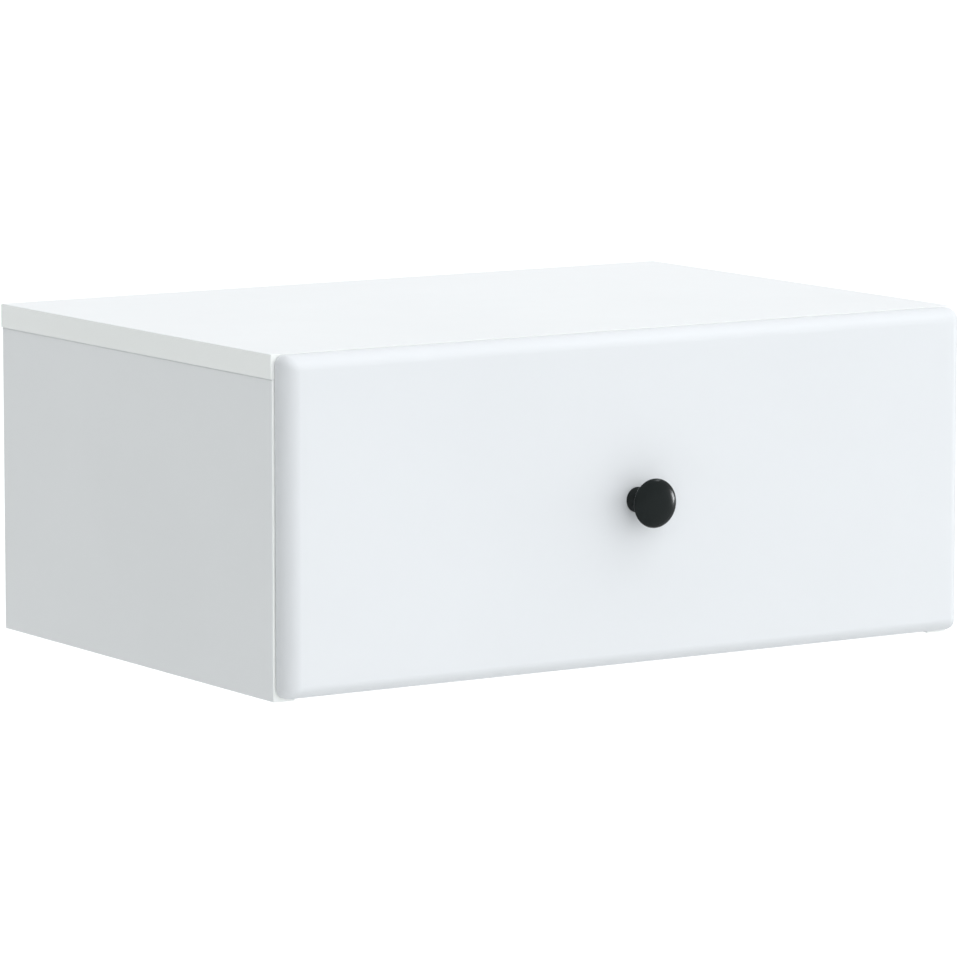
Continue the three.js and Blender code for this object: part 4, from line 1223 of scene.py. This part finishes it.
def build_drawer_runner(side, sign):
    node = f"drawer_runner_{side}"
    low, high = corners(node)
    channel_low = corners(f"cabinet_runner_{side}")[0].z
    face_x = inner_x(f"side_panel_{side}", sign)
    web = RUNNER_GAP - STEEL
    seat_reach = abs(face_x) - abs(inner_x(node, sign))
    glide_reach = abs(face_x) - abs(outer_x(node, sign))
    glide_top = high.z - channel_low
    outer = BEND_RADIUS + STEEL
    section = runner_section([
        (web, DRAWER_SEAT - STEEL, outer),
        (seat_reach, DRAWER_SEAT - STEEL, SHEET_EDGE),
        (seat_reach, DRAWER_SEAT, SHEET_EDGE),
        (RUNNER_GAP, DRAWER_SEAT, BEND_RADIUS),
        (RUNNER_GAP, glide_top, outer),
        (glide_reach, glide_top, SHEET_EDGE),
        (glide_reach, glide_top - STEEL, SHEET_EDGE),
        (web, glide_top - STEEL, BEND_RADIUS),
    ], sign)
    body = prism(section, along_runner(face_x, high.y, channel_low), high.y - low.y)
    web_from = face_x - sign * (web - OVERRUN)
    web_to = face_x - sign * (RUNNER_GAP + OVERRUN)
    pin = middle(f"rear_roller_pin_{side}")
    cutters = [drill_along(ALONG_X, PIN_HOLE_RADIUS, pin, web_from, web_to)]
    for row in ROWS:
        screw = middle(f"drawer_runner_screw_{side}_{row}")
        cutters.append(drill_along(ALONG_X, RUNNER_HOLE_RADIUS, screw, web_from, web_to))
    # The glide ends ahead of the rear roller
    roller_low = corners(f"rear_roller_{side}")[0]
    cutters.append(block(*spanning(
        Vector((face_x, roller_low.y - OVERRUN, channel_low + glide_top - STEEL - OVERRUN)),
        Vector((face_x - sign * web, high.y + OVERRUN, channel_low + glide_top + OVERRUN)),
    )))
    dress(node, carve(node, body, cutters))


def build_roller(node):
    low, high = corners(node)
    radius = (high.z - low.z) / 2
    half = (high.x - low.x) / 2
    outline = rounded([
        (ROLLER_BORE_RADIUS, -half, 0),
        (radius, -half, ROLLER_EDGE),
        (radius, half, ROLLER_EDGE),
        (ROLLER_BORE_RADIUS, half, 0),
    ])
    dress(node, lathe([*outline, outline[0]], ROLLER_SIDES), lay((low + high) / 2, X))


def build_pin(node, head_way, collar):
    """A rivet pin whose tail starts in the sheet. A collar may keep its roller off the steel."""
    low, high = corners(node)
    length = high.x - low.x
    shoulder = length - PIN_HEAD_LENGTH
    tail = (low + high) / 2
    tail.x = low.x if head_way > 0 else high.x
    profile = [(0, 0, 0), (PIN_RADIUS, 0, 0)]
    if collar:
        profile += [
            (PIN_RADIUS, PIN_TAIL, 0),
            (PIN_HEAD_RADIUS, PIN_TAIL, SHEET_EDGE),
            (PIN_HEAD_RADIUS, PIN_TAIL + collar, SHEET_EDGE),
            (PIN_RADIUS, PIN_TAIL + collar, 0),
        ]
    profile += [
        (PIN_RADIUS, shoulder, 0),
        (PIN_HEAD_RADIUS, shoulder, 0),
        (PIN_HEAD_RADIUS, length, PIN_HEAD_EDGE),
        (0, length, 0),
    ]
    dress(node, lathe(rounded(profile), SCREW_SIDES), lay(tail, X * head_way))


def build_runners():
    for side, sign in SIDES:
        build_cabinet_runner(side, sign)
        build_drawer_runner(side, sign)
        build_roller(f"front_roller_{side}")
        build_roller(f"rear_roller_{side}")
        build_pin(f"front_roller_pin_{side}", -sign, 0)
        roller_face = inner_x(f"rear_roller_{side}", sign)
        web_face = outer_x(f"drawer_side_{side}", sign)
        collar = abs(roller_face - web_face) - STEEL - ROLLER_CLEARANCE
        build_pin(f"rear_roller_pin_{side}", sign, collar)


# Camera, light and floor


def build_camera():
    data = bpy.data.cameras.new("camera")
    data.lens = CAMERA_LENS_MM
    data.sensor_width = CAMERA_SENSOR_MM
    data.clip_end = CAMERA_REACH
    camera = add_object("camera", data)
    camera.location = CAMERA_PLACE
    camera.rotation_euler = (math.pi / 2 + CAMERA_PITCH, 0, -CAMERA_YAW)
    bpy.context.scene.camera = camera


def seen_rays(tree):
    """1 for rays that look at the background: from the camera, off gloss or through glass."""
    path = add_node(tree, "ShaderNodeLightPath")
    seen = path.outputs["Is Camera Ray"]
    for kind in ("Is Glossy Ray", "Is Transmission Ray"):
        most = add_node(tree, "ShaderNodeMath")
        most.operation = "MAXIMUM"
        tree.links.new(seen, most.inputs[0])
        tree.links.new(path.outputs[kind], most.inputs[1])
        seen = most.outputs[0]
    return seen


def mix_shaders(tree, factor, first, second):
    mix = add_node(tree, "ShaderNodeMixShader")
    tree.links.new(factor, mix.inputs["Fac"])
    tree.links.new(first.outputs[0], mix.inputs[1])
    tree.links.new(second.outputs[0], mix.inputs[2])
    return mix


def build_world():
    world = bpy.data.worlds.new("world")
    bpy.context.scene.world = world
    world.use_nodes = True
    tree = world.node_tree
    tree.nodes.clear()
    ambient = add_node(tree, "ShaderNodeBackground", Color=(*AMBIENT_COLOUR, 1), Strength=AMBIENT)
    white = add_node(tree, "ShaderNodeBackground", Color=(1, 1, 1, 1), Strength=1)
    mix = mix_shaders(tree, seen_rays(tree), ambient, white)
    output = add_node(tree, "ShaderNodeOutputWorld")
    tree.links.new(mix.outputs[0], output.inputs["Surface"])


def floor_material():
    """Matte and pale, lifted to white for the rays that look at it, and clear from below."""
    material = bpy.data.materials.new("floor")
    material.use_nodes = True
    tree = material.node_tree
    tree.nodes.clear()
    matte = add_node(tree, "ShaderNodeBsdfDiffuse", Color=(*FLOOR_COLOUR, 1))
    lift = add_node(tree, "ShaderNodeMath")
    lift.operation = "MULTIPLY"
    lift.inputs[1].default_value = FLOOR_GLOW
    glow = add_node(tree, "ShaderNodeEmission")
    tree.links.new(seen_rays(tree), lift.inputs[0])
    tree.links.new(lift.outputs[0], glow.inputs["Strength"])
    both = add_node(tree, "ShaderNodeAddShader")
    tree.links.new(matte.outputs[0], both.inputs[0])
    tree.links.new(glow.outputs[0], both.inputs[1])
    clear = add_node(tree, "ShaderNodeBsdfTransparent")
    geometry = add_node(tree, "ShaderNodeNewGeometry")
    side = mix_shaders(tree, geometry.outputs["Backfacing"], both, clear)
    output = add_node(tree, "ShaderNodeOutputMaterial")
    tree.links.new(side.outputs[0], output.inputs["Surface"])
    return material


def build_floor():
    """A pale floor below the hanging cabinet, white to the camera where no shadow falls. It is
    clear from below, so that views of the underside see the cabinet."""
    level = frame_low.z - FLOOR_DROP
    reach = FLOOR_REACH
    mesh = bpy.data.meshes.new("floor")
    mesh.from_pydata(
        [(-reach, -reach, level), (reach, -reach, level), (reach, reach, level), (-reach, reach, level)],
        [],
        [(0, 1, 2, 3)],
    )
    mesh.materials.append(floor_material())
    add_object("floor", mesh)


def add_lamp(name, kind, place, aim, power, colour, **settings):
    data = bpy.data.lights.new(name, kind)
    data.energy = power
    data.color = colour
    for setting, value in settings.items():
        setattr(data, setting, value)
    lamp = add_object(name, data)
    lamp.matrix_world = lay(place, place - aim)
    return lamp


def build_lights():
    here = Vector((0, 0, 0))
    for name, way, power, spread, colour in (
        ("main_light", MAIN_LIGHT_WAY, MAIN_LIGHT_POWER, MAIN_LIGHT_SPREAD, LAMP_COLOUR),
        ("top_light", TOP_LIGHT_WAY, TOP_LIGHT_POWER, TOP_LIGHT_SPREAD, TOP_LAMP_COLOUR),
        ("fill_light", FILL_LIGHT_WAY, FILL_LIGHT_POWER, FILL_LIGHT_SPREAD, LAMP_COLOUR),
        ("side_light", SIDE_LIGHT_WAY, SIDE_LIGHT_POWER, SIDE_LIGHT_SPREAD, LAMP_COLOUR),
    ):
        lamp = add_lamp(name, "SUN", way, here, power, colour, angle=spread)
        lamp.visible_glossy = False
    for name, place, size, power in (
        ("side_softbox", SIDE_BOX_PLACE, SIDE_BOX_SIZE, SIDE_BOX_POWER),
        ("high_softbox", HIGH_BOX_PLACE, HIGH_BOX_SIZE, HIGH_BOX_POWER),
    ):
        softbox = add_lamp(
            name, "AREA", place, middle("knob"), power, LAMP_COLOUR,
            shape="RECTANGLE", size=size[0], size_y=size[1],
        )
        softbox.visible_diffuse = False


build_camera()
build_world()
build_floor()
build_lights()

build_cabinet()
build_cam_joints()
build_drawer_box()
build_drawer_front()
build_pads()
build_knob()
build_runners()
build_screws()

bpy.context.scene.view_settings.view_transform = "Standard"
